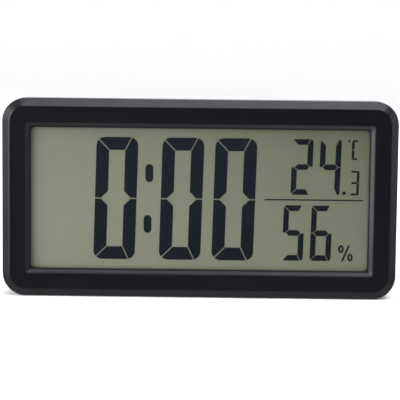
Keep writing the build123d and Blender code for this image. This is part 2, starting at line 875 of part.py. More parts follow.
def key_cap(place):
    """Key with its crowned cap outside, retaining flange inside and stem to the plunger."""
    flange_back_y = back_wall_y - fit_gap
    with BuildPart() as piece:
        with BuildSketch(facing(flange_back_y)):
            with Locations(place):
                RectangleRounded(key_width, key_height, key_corner)
        extrude(amount=-(back_y + key_proud - flange_back_y))
        crown = piece.faces().sort_by(Axis.Y)[-1]
        fillet(crown.edges(), key_crown)
        with BuildSketch(facing(flange_back_y)):
            with Locations(place):
                RectangleRounded(key_width + 2 * key_flange, key_height + 2 * key_flange, key_corner)
        extrude(amount=key_flange_thickness)
        with BuildSketch(facing(flange_back_y)):
            with Locations(place):
                Rectangle(key_stem, key_stem / 2)
                Rectangle(key_stem / 2, key_stem)
        extrude(amount=flange_back_y - plunger_top_y)
    return piece


mode_plunger, up_plunger, down_plunger, unit_plunger = [plunger(place) for place in key_places]
mode_button, up_button, down_button, unit_button = [key_cap(place) for place in key_places]
mode_plunger.part.label = "mode_plunger"
up_plunger.part.label = "up_plunger"
down_plunger.part.label = "down_plunger"
unit_plunger.part.label = "unit_plunger"
mode_button.part.label = "mode_button"
up_button.part.label = "up_button"
down_button.part.label = "down_button"
unit_button.part.label = "unit_button"

# Rear cover

inside_back = (Align.CENTER, Align.MAX, Align.CENTER)
wall_core_y = back_y - wall / 2
taper_center_z = (case_height - back_taper) / 2
keyhole_x = case_width / 2 - keyhole_inset
keyhole_places = ((-keyhole_x, keyhole_level), (keyhole_x, keyhole_level))
latch_top = door_top + latch_reach
latch_pocket_height = latch_reach + latch_gap + door_ledge
latch_pocket_depth = latch_depth + fit_gap
pocket_height = 2 * keyhole_entry_radius + keyhole_slot_length + 2 * keyhole_side_room
pocket_level = keyhole_level + keyhole_slot_length / 2
pocket_width = 2 * (keyhole_entry_radius + keyhole_side_room)
duct_width = vent_count * vent_pitch + 2 * duct_wall
duct_height = vent_height + 2 * vent_margin + 2 * duct_wall
tab_places = ((-tab_spacing / 2, door_bottom), (tab_spacing / 2, door_bottom))
pin_length = stand_recess_width + 2 * (stand_cheek - stand_pin_inset)


def recess_outline():
    """Outline of the recess that the stand folds into, with its finger notch."""
    foot = stand_recess_width / 2
    tip = stand_recess_tip_width / 2
    with BuildSketch() as outline:
        with BuildLine():
            Polyline((-foot, stand_recess_bottom), (foot, stand_recess_bottom),
                     (foot, stand_hinge_level), (tip, stand_recess_top),
                     (-tip, stand_recess_top), (-foot, stand_hinge_level), close=True)
        make_face()
        fillet(outline.vertices().group_by(Axis.Y)[-1], stand_tip_corner + stand_clearance)
        with Locations((0, stand_recess_top)):
            RectangleRounded(stand_notch_width, 2 * stand_notch_height, stand_notch_corner)
    return outline.sketch


with BuildPart() as rear_cover:
    with BuildSketch(facing(parting_y)):
        with Locations((0, mid_z)):
            RectangleRounded(case_width - 2 * seam_bevel, case_height - 2 * seam_bevel,
                             corner_radius - seam_bevel)
    with BuildSketch(facing(parting_y + seam_bevel)):
        with Locations((0, mid_z)):
            RectangleRounded(case_width, case_height, corner_radius)
    with BuildSketch(facing(back_y)):
        with Locations((0, taper_center_z)):
            RectangleRounded(case_width - 2 * back_taper, case_height - back_taper, corner_radius)
    loft(ruled=True)
    fillet(rear_cover.faces().sort_by(Axis.Y)[-1].edges(), back_edge)
    with BuildSketch(facing(parting_y)):
        with Locations((0, mid_z)):
            RectangleRounded(cavity_width, cavity_height, corner_radius - wall)
    with BuildSketch(facing(back_wall_y)):
        with Locations((0, taper_center_z)):
            RectangleRounded(cavity_width - 2 * back_taper, cavity_height - back_taper,
                             corner_radius - wall)
    loft(mode=Mode.SUBTRACT)
    with BuildSketch(facing(parting_y + tongue_height + seam_clearance)):
        with Locations((0, mid_z)):
            RectangleRounded(case_width - wall, case_height - wall, corner_radius - wall / 2)
            RectangleRounded(cavity_width, cavity_height, corner_radius - wall, mode=Mode.SUBTRACT)
    extrude(amount=tongue_height + seam_clearance, mode=Mode.SUBTRACT)

    # stiffening ribs across the back wall
    with Locations((0, wall_core_y, mid_z)):
        with GridLocations(case_width - 2 * back_rib_inset, 0, 2, 1):
            Box(back_rib_thickness, back_rib_height + wall / 2, cavity_height - back_taper - wall,
                align=inside_back)

    # walls of the battery bay, of its latch pocket and of its tab pockets
    with Locations((0, wall_core_y, bay_level)):
        Box(bay_length + 2 * bay_wall, wall_core_y - bay_back_y, bay_height + 2 * bay_wall,
            align=inside_back)
    with Locations((0, wall_core_y, bay_top + latch_pocket_height / 2)):
        Box(latch_width + 2 * (latch_gap + latch_wall), latch_pocket_depth + latch_wall - wall / 2,
            latch_pocket_height + 2 * latch_wall, align=inside_back)
    with Locations(*[(x, wall_core_y, z) for x, z in tab_places]):
        Box(tab_width + 2 * (tab_gap + latch_wall), tab_pocket_depth + latch_wall - wall / 2,
            2 * (tab_reach + tab_gap + latch_wall), align=inside_back)

    # tub of the stand, with its hinge cheeks
    with BuildSketch(facing(wall_core_y)):
        add(recess_outline())
        offset(amount=stand_recess_wall, kind=Kind.INTERSECTION)
    extrude(amount=wall_core_y - stand_floor_y + stand_recess_wall)
    with BuildSketch(across(-stand_recess_width / 2 - stand_cheek)):
        with Locations((stand_hinge_y, stand_hinge_level)):
            Circle(stand_cheek_radius)
        with Locations(((stand_hinge_y + wall_core_y) / 2, stand_hinge_level)):
            Rectangle(wall_core_y - stand_hinge_y, 2 * stand_cheek_radius)
    extrude(amount=stand_recess_width + 2 * stand_cheek)

    # keyhole pockets, sensor duct and screw tubes
    with Locations(*[(x, wall_core_y, pocket_level) for x, z in keyhole_places]):
        Box(pocket_width + 2 * keyhole_pocket_wall,
            keyhole_pocket_depth + keyhole_pocket_wall + wall / 2,
            pocket_height + 2 * keyhole_pocket_wall, align=inside_back)
    with BuildSketch(facing(wall_core_y)):
        with Locations((vent_x, vent_level)):
            Rectangle(duct_width, duct_height)
            Rectangle(duct_width - 2 * duct_wall, duct_height - 2 * duct_wall, mode=Mode.SUBTRACT)
    extrude(amount=wall_core_y - board_back_y - duct_gap)
    with BuildSketch(facing(wall_core_y)):
        with Locations(*case_screw_places):
            Circle(case_screw_tube_radius)
    extrude(amount=wall_core_y - case_tube_y)

    # battery bay, door seat and the pockets of the door's latch and tabs
    with Locations((0, back_y, bay_level)):
        Box(bay_length, back_y - bay_floor_y, bay_height, align=inside_back, mode=Mode.SUBTRACT)
    with BuildSketch(facing(back_y)):
        with Locations((0, bay_level)):
            RectangleRounded(door_width, door_height, door_corner)
    extrude(amount=door_thickness, mode=Mode.SUBTRACT)
    with Locations((0, back_y, bay_top + latch_pocket_height / 2)):
        Box(latch_width + 2 * latch_gap, latch_pocket_depth, latch_pocket_height,
            align=inside_back, mode=Mode.SUBTRACT)
    tab_pocket_top_y = back_y - wall
    with Locations(*[(x, tab_pocket_top_y, z) for x, z in tab_places]):
        Box(tab_width + 2 * tab_gap, tab_pocket_depth - wall, 2 * (tab_reach + tab_gap),
            align=inside_back, mode=Mode.SUBTRACT)
    with Locations(*[(x, back_y, door_bottom + door_ledge / 2) for x, z in tab_places]):
        Box(tab_width + 2 * tab_gap, wall, door_ledge, align=inside_back, mode=Mode.SUBTRACT)
    # slots in the floor for the solder tabs of the contacts
    tab_x = bay_length / 2 - contact_thickness / 2
    with Locations((tab_x, bay_floor_y, upper_cell_level), (tab_x, bay_floor_y, lower_cell_level)):
        Box(contact_thickness + 2 * contact_slot_gap, bay_floor_thickness,
            contact_tab_width + 2 * contact_slot_gap, align=inside_back, mode=Mode.SUBTRACT)
    # low cradle rib that holds the cells apart
    cradle_length = bay_length * bay_cradle_length_share
    with BuildSketch(across(-cradle_length / 2)):
        with BuildLine():
            Polyline((bay_floor_y, bay_level - bay_cradle_width / 2),
                     (bay_floor_y + bay_cradle_height, bay_level),
                     (bay_floor_y, bay_level + bay_cradle_width / 2), close=True)
        make_face()
    extrude(amount=cradle_length)

    # stand recess with its finger notch
    with BuildSketch(facing(back_y)):
        add(recess_outline())
    extrude(amount=back_y - stand_floor_y, mode=Mode.SUBTRACT)
    with BuildSketch(across(-pin_length / 2)):
        with Locations((stand_hinge_y, stand_hinge_level)):
            Circle(stand_pin_radius + stand_pin_clearance)
    extrude(amount=pin_length, mode=Mode.SUBTRACT)

    # key holes
    with BuildSketch(facing(back_y)):
        with Locations(*key_places):
            RectangleRounded(key_width + 2 * key_clearance, key_height + 2 * key_clearance,
                             key_corner + key_clearance)
    extrude(amount=wall, mode=Mode.SUBTRACT)

    # keyholes: pocket, round entry and slot
    with Locations(*[(x, back_wall_y, pocket_level) for x, z in keyhole_places]):
        Box(pocket_width, keyhole_pocket_depth, pocket_height, align=inside_back,
            mode=Mode.SUBTRACT)
    with BuildSketch(facing(back_y)):
        with Locations(*keyhole_places):
            Circle(keyhole_entry_radius)
        with Locations(*[(x, z + keyhole_slot_length / 2) for x, z in keyhole_places]):
            Rectangle(2 * keyhole_slot_radius, keyhole_slot_length)
        with Locations(*[(x, z + keyhole_slot_length) for x, z in keyhole_places]):
            Circle(keyhole_slot_radius)
    extrude(amount=wall, mode=Mode.SUBTRACT)

    # vent slots in a shallow dish
    with BuildSketch(facing(back_y)):
        with Locations((vent_x, vent_level)):
            RectangleRounded(vent_count * vent_pitch, vent_height + 2 * vent_margin, vent_margin)
    extrude(amount=vent_recess, mode=Mode.SUBTRACT)
    with BuildSketch(facing(back_y)):
        with Locations((vent_x, vent_level)):
            with GridLocations(vent_pitch, 0, vent_count, 1):
                SlotOverall(vent_height, vent_width, rotation=90)
    extrude(amount=wall, mode=Mode.SUBTRACT)

    # counterbored screw holes
    with BuildSketch(facing(back_y)):
        with Locations(*case_screw_places):
            Circle(case_screw_head_radius + case_screw_clearance)
    extrude(amount=back_y - case_screw_seat_y, mode=Mode.SUBTRACT)
    with BuildSketch(facing(case_screw_seat_y)):
        with Locations(*case_screw_places):
            Circle(case_screw_radius + case_screw_clearance)
    extrude(amount=case_screw_floor, mode=Mode.SUBTRACT)
rear_cover.part.label = "rear_cover"

# Battery door

door_edge_top = door_top - door_clearance
tab_back_y = back_y - wall - tab_play

with BuildPart() as battery_door:
    with BuildSketch(facing(back_y)):
        with Locations((0, bay_level)):
            RectangleRounded(door_width - 2 * door_clearance, door_height - 2 * door_clearance,
                             door_corner - door_clearance)
    extrude(amount=door_thickness)
    # ribs over the cells
    with Locations((0, door_seat_y, bay_level)):
        with GridLocations(bay_length / 2, 0, 2, 1):
            Box(door_rib_width, door_rib_height, bay_height - 2 * door_ledge, align=inside_back)
    # tabs under the rim of the bay
    for x, z in tab_places:
        with BuildSketch(across(x - tab_width / 2)):
            with BuildLine():
                Polyline((door_seat_y, z + door_clearance), (door_seat_y, z + tab_root),
                         (tab_back_y - tab_thickness, z + tab_root),
                         (tab_back_y - tab_thickness, z - tab_reach),
                         (tab_back_y, z - tab_reach), (tab_back_y, z + door_clearance),
                         close=True)
            make_face()
        extrude(amount=tab_width)
    # sprung latch, bent back on itself
    with BuildSketch(across(-latch_width / 2)) as latch_profile:
        with BuildLine():
            Polyline((door_seat_y, door_edge_top), (door_seat_y, door_edge_top - latch_leg),
                     (back_y - latch_depth, door_edge_top - latch_leg),
                     (back_y - latch_depth, latch_top), (back_y, latch_top),
                     (back_y, latch_top - latch_leg),
                     (back_y - latch_depth + latch_leg, latch_top - latch_leg),
                     (back_y - latch_depth + latch_leg, door_edge_top), close=True)
        make_face()
        fillet(latch_profile.vertices().group_by(Axis.X)[0], latch_rounding)
    extrude(amount=latch_width)
    # grip ridges beside the latch
    with BuildSketch(facing(back_y)):
        with Locations((0, door_top - door_ledge - grip_count * grip_pitch / 2)):
            with GridLocations(0, grip_pitch, 1, grip_count):
                SlotOverall(door_width * grip_length_share, grip_width)
    extrude(amount=-grip_height)
battery_door.part.label = "battery_door"

# Cells


def cell(tip_side, level):
    """Battery with its positive nub towards +X or -X."""
    sleeve = cell_length - cell_nub_length
    with BuildPart() as piece:
        with BuildSketch(facing(cell_y)) as profile:
            with BuildLine():
                Polyline(*[(tip_side * (cell_foot_x + x), level + radius) for x, radius in (
                    (0, 0), (0, cell_radius - cell_edge), (cell_edge, cell_radius),
                    (sleeve - cell_edge, cell_radius), (sleeve, cell_radius - cell_edge),
                    (sleeve, cell_nub_radius), (cell_length, cell_nub_radius),
                    (cell_length, 0))], close=True)
            make_face()
        revolve(axis=Axis((0, cell_y, level), (1, 0, 0)))
    return piece


battery_upper = cell(1, upper_cell_level)
battery_upper.part.label = "battery_upper"
battery_lower = cell(-1, lower_cell_level)
battery_lower.part.label = "battery_lower"

# Contacts, the negative ones with a conical spring


def coil_point(turn, foot_x, tip_x):
    """Place and direction of the wire after the given number of turns, round the X axis."""
    step = (tip_x - foot_x) / spring_turn_count
    shrink = (spring_tip_radius - spring_foot_radius) / spring_turn_count
    angle = 2 * pi * turn
    radius = spring_foot_radius + shrink * turn
    place = Vector(foot_x + step * turn, radius * cos(angle), radius * sin(angle))
    run = Vector(step, shrink * cos(angle) - 2 * pi * radius * sin(angle),
                 shrink * sin(angle) + 2 * pi * radius * cos(angle))
    return place, run.normalized()


def least_gap(path):
    """Least clear distance between the turns of a coil, from points along its wire."""
    count = spring_turn_count * spring_gap_point_count
    spots = [path.position_at(i / count) for i in range(count + 1)]
    half_turn = spring_gap_point_count // 2
    nearest = min((far - near).length for i, near in enumerate(spots)
                  for far in spots[i + half_turn:])
    return nearest - 2 * spring_wire_radius


def coil(foot_x, tip_x, level):
    """Conical spring of one unbroken wire, made of pairs of tangent arcs."""
    centre = Vector(0, cell_y, level)
    steps = spring_turn_count * spring_step_count
    stations = [coil_point(i / spring_step_count, foot_x, tip_x) for i in range(steps + 1)]
    with BuildPart() as piece:
        with BuildLine() as wire:
            for (start, start_run), (end, end_run) in zip(stations, stations[1:]):
                chord = end - start
                turn = 1 - start_run.dot(end_run)
                along = chord.dot(start_run + end_run)
                reach = (sqrt(along ** 2 + 2 * turn * chord.dot(chord)) - along) / (2 * turn)
                start_arm = start + start_run * reach
                end_arm = end - end_run * reach
                joint = (start_arm + end_arm) * 0.5
                TangentArc(centre + start, centre + joint, tangent=start_run)
                TangentArc(centre + joint, centre + end, tangent=end_arm - start_arm)
        print("least gap of the coil to itself", round(least_gap(wire.wires()[0]), 3))
        with BuildSketch(Plane(origin=centre + stations[0][0], z_dir=stations[0][1])):
            Circle(spring_wire_radius)
        sweep()
    return piece


def contact(side, levels, tab_levels):
    """Stamped plate on an end wall of the bay, over the given cells, with its solder tab."""
    centre_level = (max(levels) + min(levels)) / 2
    span = max(levels) - min(levels) + contact_width
    wall_x = side * bay_length / 2
    with BuildPart() as piece:
        with Locations((wall_x - side * contact_thickness / 2, cell_y, centre_level)):
            Box(contact_thickness, contact_height, span)
        plate_edge_y = cell_y - contact_height / 2
        tab_length = plate_edge_y - bay_back_y + contact_tab_reach
        for level in tab_levels:
            with Locations((wall_x - side * contact_thickness / 2, plate_edge_y, level)):
                Box(contact_thickness, tab_length, contact_tab_width, align=inside_back)
    return piece


def dimple(side, level):
    """Round boss stamped in a contact where a positive nub touches it."""
    with BuildPart() as piece:
        with BuildSketch(across(side * plate_face_x)):
            with Locations((cell_y, level)):
                Circle(dimple_radius)
        extrude(amount=-side * dimple_height, taper=45)
    return piece


spring_foot_x = plate_face_x + spring_sink - spring_wire_radius
spring_tip_x = -cell_foot_x + spring_gap + spring_wire_radius

with BuildPart() as contact_bridge:
    add(contact(-1, (upper_cell_level, lower_cell_level), ()).part)
    add(dimple(-1, lower_cell_level).part)
    add(coil(-spring_foot_x, -spring_tip_x, upper_cell_level).part)
contact_bridge.part.label = "contact_bridge"

with BuildPart() as contact_positive:
    add(contact(1, (upper_cell_level,), (upper_cell_level,)).part)
    add(dimple(1, upper_cell_level).part)
contact_positive.part.label = "contact_positive"

with BuildPart() as contact_negative:
    add(contact(1, (lower_cell_level,), (lower_cell_level,)).part)
    add(coil(spring_foot_x, spring_tip_x, lower_cell_level).part)
contact_negative.part.label = "contact_negative"

# Leads from the contacts to the board


def lead(landing_x, level):
    """Short insulated lead along straight runs joined by arcs."""
    start = Vector(bay_length / 2 + lead_gap, (board_y + bay_back_y) / 2, level)
    landing_y = board_back_y + lead_radius + lead_gap
    over_edge = Vector(landing_x, landing_y, board_top + lead_edge_room)
    out_share, back_share, down_share = lead_turn_shares
    points = [
        start,
        Vector(start.X + (landing_x - start.X) * out_share, start.Y, level),
        Vector(landing_x, start.Y + (landing_y - start.Y) * back_share,
               level + (over_edge.Z - level) * down_share),
        over_edge,
        Vector(landing_x, landing_y, board_top - lead_landing_depth),
    ]
    radii = []
    for before, here, after in zip(points, points[1:], points[2:]):
        turn = radians((here - before).get_angle(after - here))
        shorter = min((here - before).length, (after - here).length)
        radii.append(arc_share * shorter / tan(turn / 2))
    print("lead radii", [round(radius, 1) for radius in radii])
    with BuildPart() as piece:
        with BuildLine():
            FilletPolyline(*points, radius=radii)
        with BuildSketch(Plane(origin=points[0], z_dir=points[1] - points[0])):
            Circle(lead_radius)
        sweep()
    return piece


lead_red = lead(lead_landing_x + lead_pitch, upper_cell_level)
lead_red.part.label = "lead_red"
lead_black = lead(lead_landing_x, lower_cell_level)
lead_black.part.label = "lead_black"

# Stand and its pin

stand_back_y = stand_hinge_y + stand_barrel_radius
stand_front_y = stand_back_y - stand_thickness
stand_tip_level = stand_hinge_level + stand_length
knuckle_relief = stand_pin_radius + stand_clearance

with BuildPart() as support_stand:
    with BuildSketch(facing(stand_back_y)) as paddle:
        with BuildLine():
            Polyline((-stand_width / 2, stand_hinge_level), (stand_width / 2, stand_hinge_level),
                     (stand_tip_width / 2, stand_tip_level),
                     (-stand_tip_width / 2, stand_tip_level), close=True)
        make_face()
        fillet(paddle.vertices().group_by(Axis.Y)[-1], stand_tip_corner)
    extrude(amount=stand_thickness)
    # hollow inner side with a rim and two ribs
    with BuildSketch(facing(stand_front_y + stand_pocket_depth)):
        offset(paddle.face(), amount=-stand_rim)
        with Locations((0, (stand_hinge_level + stand_tip_level) / 2)):
            with GridLocations(stand_tip_width / 3, 0, 2, 1):
                Rectangle(stand_rib, stand_length, mode=Mode.SUBTRACT)
    extrude(amount=stand_pocket_depth, mode=Mode.SUBTRACT)
    # hinge knuckles at both sides
    for x in (-stand_width / 2, stand_width / 2 - stand_knuckle_length):
        with BuildSketch(across(x)):
            with Locations((stand_hinge_y, stand_hinge_level)):
                Circle(stand_barrel_radius)
        extrude(amount=stand_knuckle_length)
    with Locations((0, stand_hinge_y, stand_hinge_level)):
        Box(stand_width - 2 * stand_knuckle_length, 2 * stand_barrel_radius + stand_clearance,
            2 * knuckle_relief, mode=Mode.SUBTRACT)
    with BuildSketch(across(-stand_width / 2)):
        with Locations((stand_hinge_y, stand_hinge_level)):
            Circle(stand_pin_radius + stand_pin_clearance)
    extrude(amount=stand_width, mode=Mode.SUBTRACT)
support_stand.part.label = "support_stand"

with BuildPart() as stand_pin:
    with BuildSketch(across(-pin_length / 2)):
        with Locations((stand_hinge_y, stand_hinge_level)):
            Circle(stand_pin_radius)
    extrude(amount=pin_length)
stand_pin.part.label = "stand_pin"

# Screws


def screws(places, seat_y, length, radius, head_radius, head_height):
    """Pan head screws that point towards the display, with a slot across each head."""
    with BuildPart() as piece:
        with BuildSketch(facing(seat_y)):
            with Locations(*places):
                Circle(radius)
        extrude(amount=length)
        with BuildSketch(facing(seat_y)):
            with Locations(*places):
                Circle(head_radius)
        extrude(amount=-head_height)
        crowns = piece.faces().filter_by(Axis.Y).group_by(Axis.Y)[-1]
        chamfer(crowns.edges(), head_height / 3)
        with BuildSketch(facing(seat_y + head_height)):
            with Locations(*places):
                Rectangle(2 * head_radius, screw_slot_width)
        extrude(amount=screw_slot_depth, mode=Mode.SUBTRACT)
    return piece


case_screws = screws(case_screw_places, case_screw_seat_y, case_screw_length, case_screw_radius,
                     case_screw_head_radius, case_screw_head_height)
case_screws.part.label = "case_screws"
bracket_screws = screws(upper_posts, board_y, bracket_thickness + small_screw_grip,
                        small_screw_radius, small_screw_head_radius, small_screw_head_height)
bracket_screws.part.label = "bracket_screws"
board_screws = screws(lower_posts, board_back_y,
                      board_thickness + bracket_thickness + small_screw_grip,
                      small_screw_radius, small_screw_head_radius, small_screw_head_height)
board_screws.part.label = "board_screws"

# One file for each piece

pieces = (
    front_bezel, lens_gasket, display_lens, lcd_segments, lcd_polarizer, lcd_front_glass,
    lcd_rear_glass, lcd_reflector, elastomer_strip, display_bracket, main_board,
    controller_blob, clock_crystal, board_capacitor, chip_resistors, humidity_sensor,
    temperature_sensor, key_switches, mode_plunger, up_plunger, down_plunger, unit_plunger,
    mode_button, up_button, down_button, unit_button, rear_cover, battery_door, battery_upper,
    battery_lower, contact_bridge, contact_positive, contact_negative, lead_red, lead_black,
    support_stand, stand_pin, case_screws, bracket_screws, board_screws,
)
os.makedirs("parts", exist_ok=True)
for piece in pieces:
    export_step(piece.part, f"parts/{piece.part.label}.step")
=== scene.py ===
import logging
import math
from collections.abc import Mapping, Sequence
from dataclasses import dataclass
from enum import Enum
from typing import Protocol

import bpy
from mathutils import Matrix, Vector


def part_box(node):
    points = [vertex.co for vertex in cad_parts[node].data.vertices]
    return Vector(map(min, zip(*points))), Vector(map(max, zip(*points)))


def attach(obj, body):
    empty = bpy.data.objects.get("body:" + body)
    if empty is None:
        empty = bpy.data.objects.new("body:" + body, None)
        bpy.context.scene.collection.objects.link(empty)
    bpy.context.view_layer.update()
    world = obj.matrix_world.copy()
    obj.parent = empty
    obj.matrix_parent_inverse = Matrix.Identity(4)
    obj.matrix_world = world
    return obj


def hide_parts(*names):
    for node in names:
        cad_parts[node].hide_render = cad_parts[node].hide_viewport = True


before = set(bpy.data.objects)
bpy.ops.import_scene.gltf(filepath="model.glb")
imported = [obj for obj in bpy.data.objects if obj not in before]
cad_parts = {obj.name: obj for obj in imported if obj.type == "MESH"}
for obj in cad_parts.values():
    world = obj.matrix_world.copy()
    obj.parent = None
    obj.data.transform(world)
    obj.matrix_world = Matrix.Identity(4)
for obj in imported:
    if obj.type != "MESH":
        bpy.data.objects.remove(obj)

# Finishes, detail pieces, studio and camera for a thermometer hygrometer clock.
# Lengths are in metres. The display faces -Y, +X is to the reader's right and +Z is up.

MM = 0.001

Colour = tuple[float, float, float]
Socket = bpy.types.NodeSocket
Inputs = Mapping[str | int, object]
Route = Sequence[tuple[float, float]]
Span = tuple[float, float]

NOISE_MIDDLE = (0.3, 0.7)
SHARP_EDGE = math.radians(32)
WHITE: Colour = (1.0, 1.0, 1.0)
BLACK: Colour = (0.0, 0.0, 0.0)

log = logging.getLogger("clock")


def linear(red: int, green: int, blue: int) -> Colour:
    """Turn a colour of 0 to 255 per channel, as a screen shows it, into linear light."""
    shares = (red / 255, green / 255, blue / 255)
    return tuple(s / 12.92 if s <= 0.04045 else ((s + 0.055) / 1.055) ** 2.4 for s in shares)


def shaded(colour: Colour, share: float) -> Colour:
    """Return the colour with each channel times a share."""
    return tuple(channel * share for channel in colour)


def added(name: str, data: bpy.types.ID) -> bpy.types.Object:
    """Add an object to the scene.

    Args:
        name: The object's name.
        data: Its mesh, lamp or camera.

    Returns:
        The object.
    """
    piece = bpy.data.objects.new(name, data)
    bpy.context.scene.collection.objects.link(piece)
    return piece


class NodeSheet:
    """A node tree with short calls to add and join its nodes."""

    def __init__(self, tree: bpy.types.NodeTree) -> None:
        """Keep the tree that the nodes go into."""
        self.tree = tree

    def add(self, kind: str, inputs: Inputs | None = None, **settings: object) -> bpy.types.Node:
        """Add a node.

        Args:
            kind: The node's type.
            inputs: What each input, by name or place, is set to or joined to.
            **settings: The node's own options.

        Returns:
            The new node.
        """
        node = self.tree.nodes.new(kind)
        for name, value in settings.items():
            setattr(node, name, value)
        for place, value in (inputs or {}).items():
            if isinstance(value, Socket):
                self.tree.links.new(value, node.inputs[place])
            else:
                node.inputs[place].default_value = value
        return node

    def calculate(self, operation: str, *values: float | Socket) -> Socket:
        """Add a Math node over the values and return its result."""
        return self.add("ShaderNodeMath", dict(enumerate(values)), operation=operation).outputs[0]

    def remap(self, value: Socket, source: Span, target: Span) -> Socket:
        """Return a value moved from its source range to a target range, clamped."""
        sizes = dict(enumerate((value, *source, *target)))
        return self.add("ShaderNodeMapRange", sizes).outputs[0]


class SurfaceSheet(NodeSheet):
    """The node tree of one material, read in Object coordinates."""

    def __init__(self, name: str) -> None:
        """Start an empty material.

        Args:
            name: The material's name.
        """
        self.material = bpy.data.materials.new(name)
        self.material.use_nodes = True
        super().__init__(self.material.node_tree)
        self.tree.nodes.clear()
        self.place = self.add("ShaderNodeTexCoord").outputs["Object"]

    def stretched(self, scale: Sequence[float]) -> Socket:
        """Return the coordinates stretched by a Mapping node."""
        return self.add("ShaderNodeMapping", {"Vector": self.place, "Scale": scale}).outputs[0]

    def axes(self) -> dict[str, Socket]:
        """Return the X, Y and Z of the object's own coordinates."""
        split = self.add("ShaderNodeSeparateXYZ", {0: self.place})
        return {name: split.outputs[name] for name in "XYZ"}

    def noise(self, size: float, detail: float = 2.0, vector: Socket | None = None) -> Socket:
        """Return a soft noise whose blotches are about this size."""
        return self.add("ShaderNodeTexNoise", {"Vector": vector or self.place, "Scale": 1 / size,
                                               "Detail": detail}).outputs["Fac"]

    def cells(self, size: float) -> Socket:
        """Return the distance within cells of about this size."""
        return self.add("ShaderNodeTexVoronoi", {"Vector": self.place,
                                                 "Scale": 1 / size}).outputs["Distance"]

    def wave(self, pitch: float, axis: str, distortion: float = 0.4) -> Socket:
        """Return soft bands of this pitch, which follow each other along an axis."""
        sizes = {"Vector": self.place, "Distortion": distortion, "Scale": math.pi / 10 / pitch}
        return self.add("ShaderNodeTexWave", sizes, bands_direction=axis).outputs["Fac"]

    def spread(self, noise: Socket, low: float, high: float) -> Socket:
        """Return the middle of a noise, spread between two values."""
        return self.remap(noise, NOISE_MIDDLE, (low, high))

    def worn(self, noise: Socket, roughness: float, wear: Span) -> Socket:
        """Return a roughness with its least and its most wear added, as a noise goes."""
        return self.spread(noise, roughness + wear[0], roughness + wear[1])

    def ramp(self, value: Socket, *stops: tuple[float, Colour]) -> Socket:
        """Read a colour from stops.

        Args:
            value: The place between the stops, from 0 to 1.
            *stops: The stops, each as its place and colour.

        Returns:
            The colour.
        """
        node = self.add("ShaderNodeValToRGB", {0: value})
        for _ in stops[2:]:
            node.color_ramp.elements.new(0.5)
        for element, (at, colour) in zip(node.color_ramp.elements, stops):
            element.position = at
            element.color = (*colour, 1)
        return node.outputs[0]

    def blend(self, share: Socket, first: Colour | Socket, second: Colour | Socket) -> Socket:
        """Mix two colours by a share that varies over the surface.

        Args:
            share: How much of the second colour is taken.
            first: The colour where the share is 0.
            second: The colour where the share is 1.

        Returns:
            The mixed colour.
        """
        sides = [side if isinstance(side, Socket) else (*side, 1) for side in (first, second)]
        node = self.add("ShaderNodeMix", {0: share, 6: sides[0], 7: sides[1]}, data_type="RGBA")
        return node.outputs[2]

    def mottled(self, noise: Socket, colour: Colour, dark: float, light: float) -> Socket:
        """Return the colour between a dark and a light share of it, as a noise goes."""
        start, end = NOISE_MIDDLE
        return self.ramp(noise, (start, shaded(colour, dark)), (end, shaded(colour, light)))

    def clouded(self, noise: Socket, tone: Socket, other: Colour, most: float) -> Socket:
        """Return the tone with up to a share of another colour, as a noise goes."""
        return self.blend(self.spread(noise, 0.0, most), tone, other)

    def bump(self, height: Socket, depth: float, under: Socket | None = None) -> Socket:
        """Raise the surface in its shading.

        Args:
            height: The height, from 0 to 1.
            depth: How deep a height of 1 is.
            under: A normal that is raised already.

        Returns:
            The raised normal.
        """
        inputs = {"Height": height, "Distance": depth, "Strength": 1.0}
        if under is not None:
            inputs["Normal"] = under
        return self.add("ShaderNodeBump", inputs).outputs[0]

    def finish(self, **inputs: object) -> bpy.types.Material:
        """Close the tree with a Principled shader.

        Args:
            **inputs: The shader's inputs, with underscores for spaces.

        Returns:
            The finished material.
        """
        named = {name.replace("_", " "): (*value, 1) if isinstance(value, tuple) else value
                 for name, value in inputs.items()}
        shader = self.add("ShaderNodeBsdfPrincipled", named).outputs[0]
        self.add("ShaderNodeOutputMaterial", {"Surface": shader})
        return self.material


class Finish(Protocol):
    """A surface that can be put on a piece."""

    name: str

    def build(self) -> bpy.types.Material:
        """Build the finish and return its material."""


class Grain(Enum):
    """Mould textures, as the size of a grain and its depth."""

    SATIN = (0.28 * MM, 0.006 * MM)
    SPARK = (0.5 * MM, 0.02 * MM)
    FINE_SPARK = (0.36 * MM, 0.012 * MM)
    POLISHED = (2.5 * MM, 0.002 * MM)


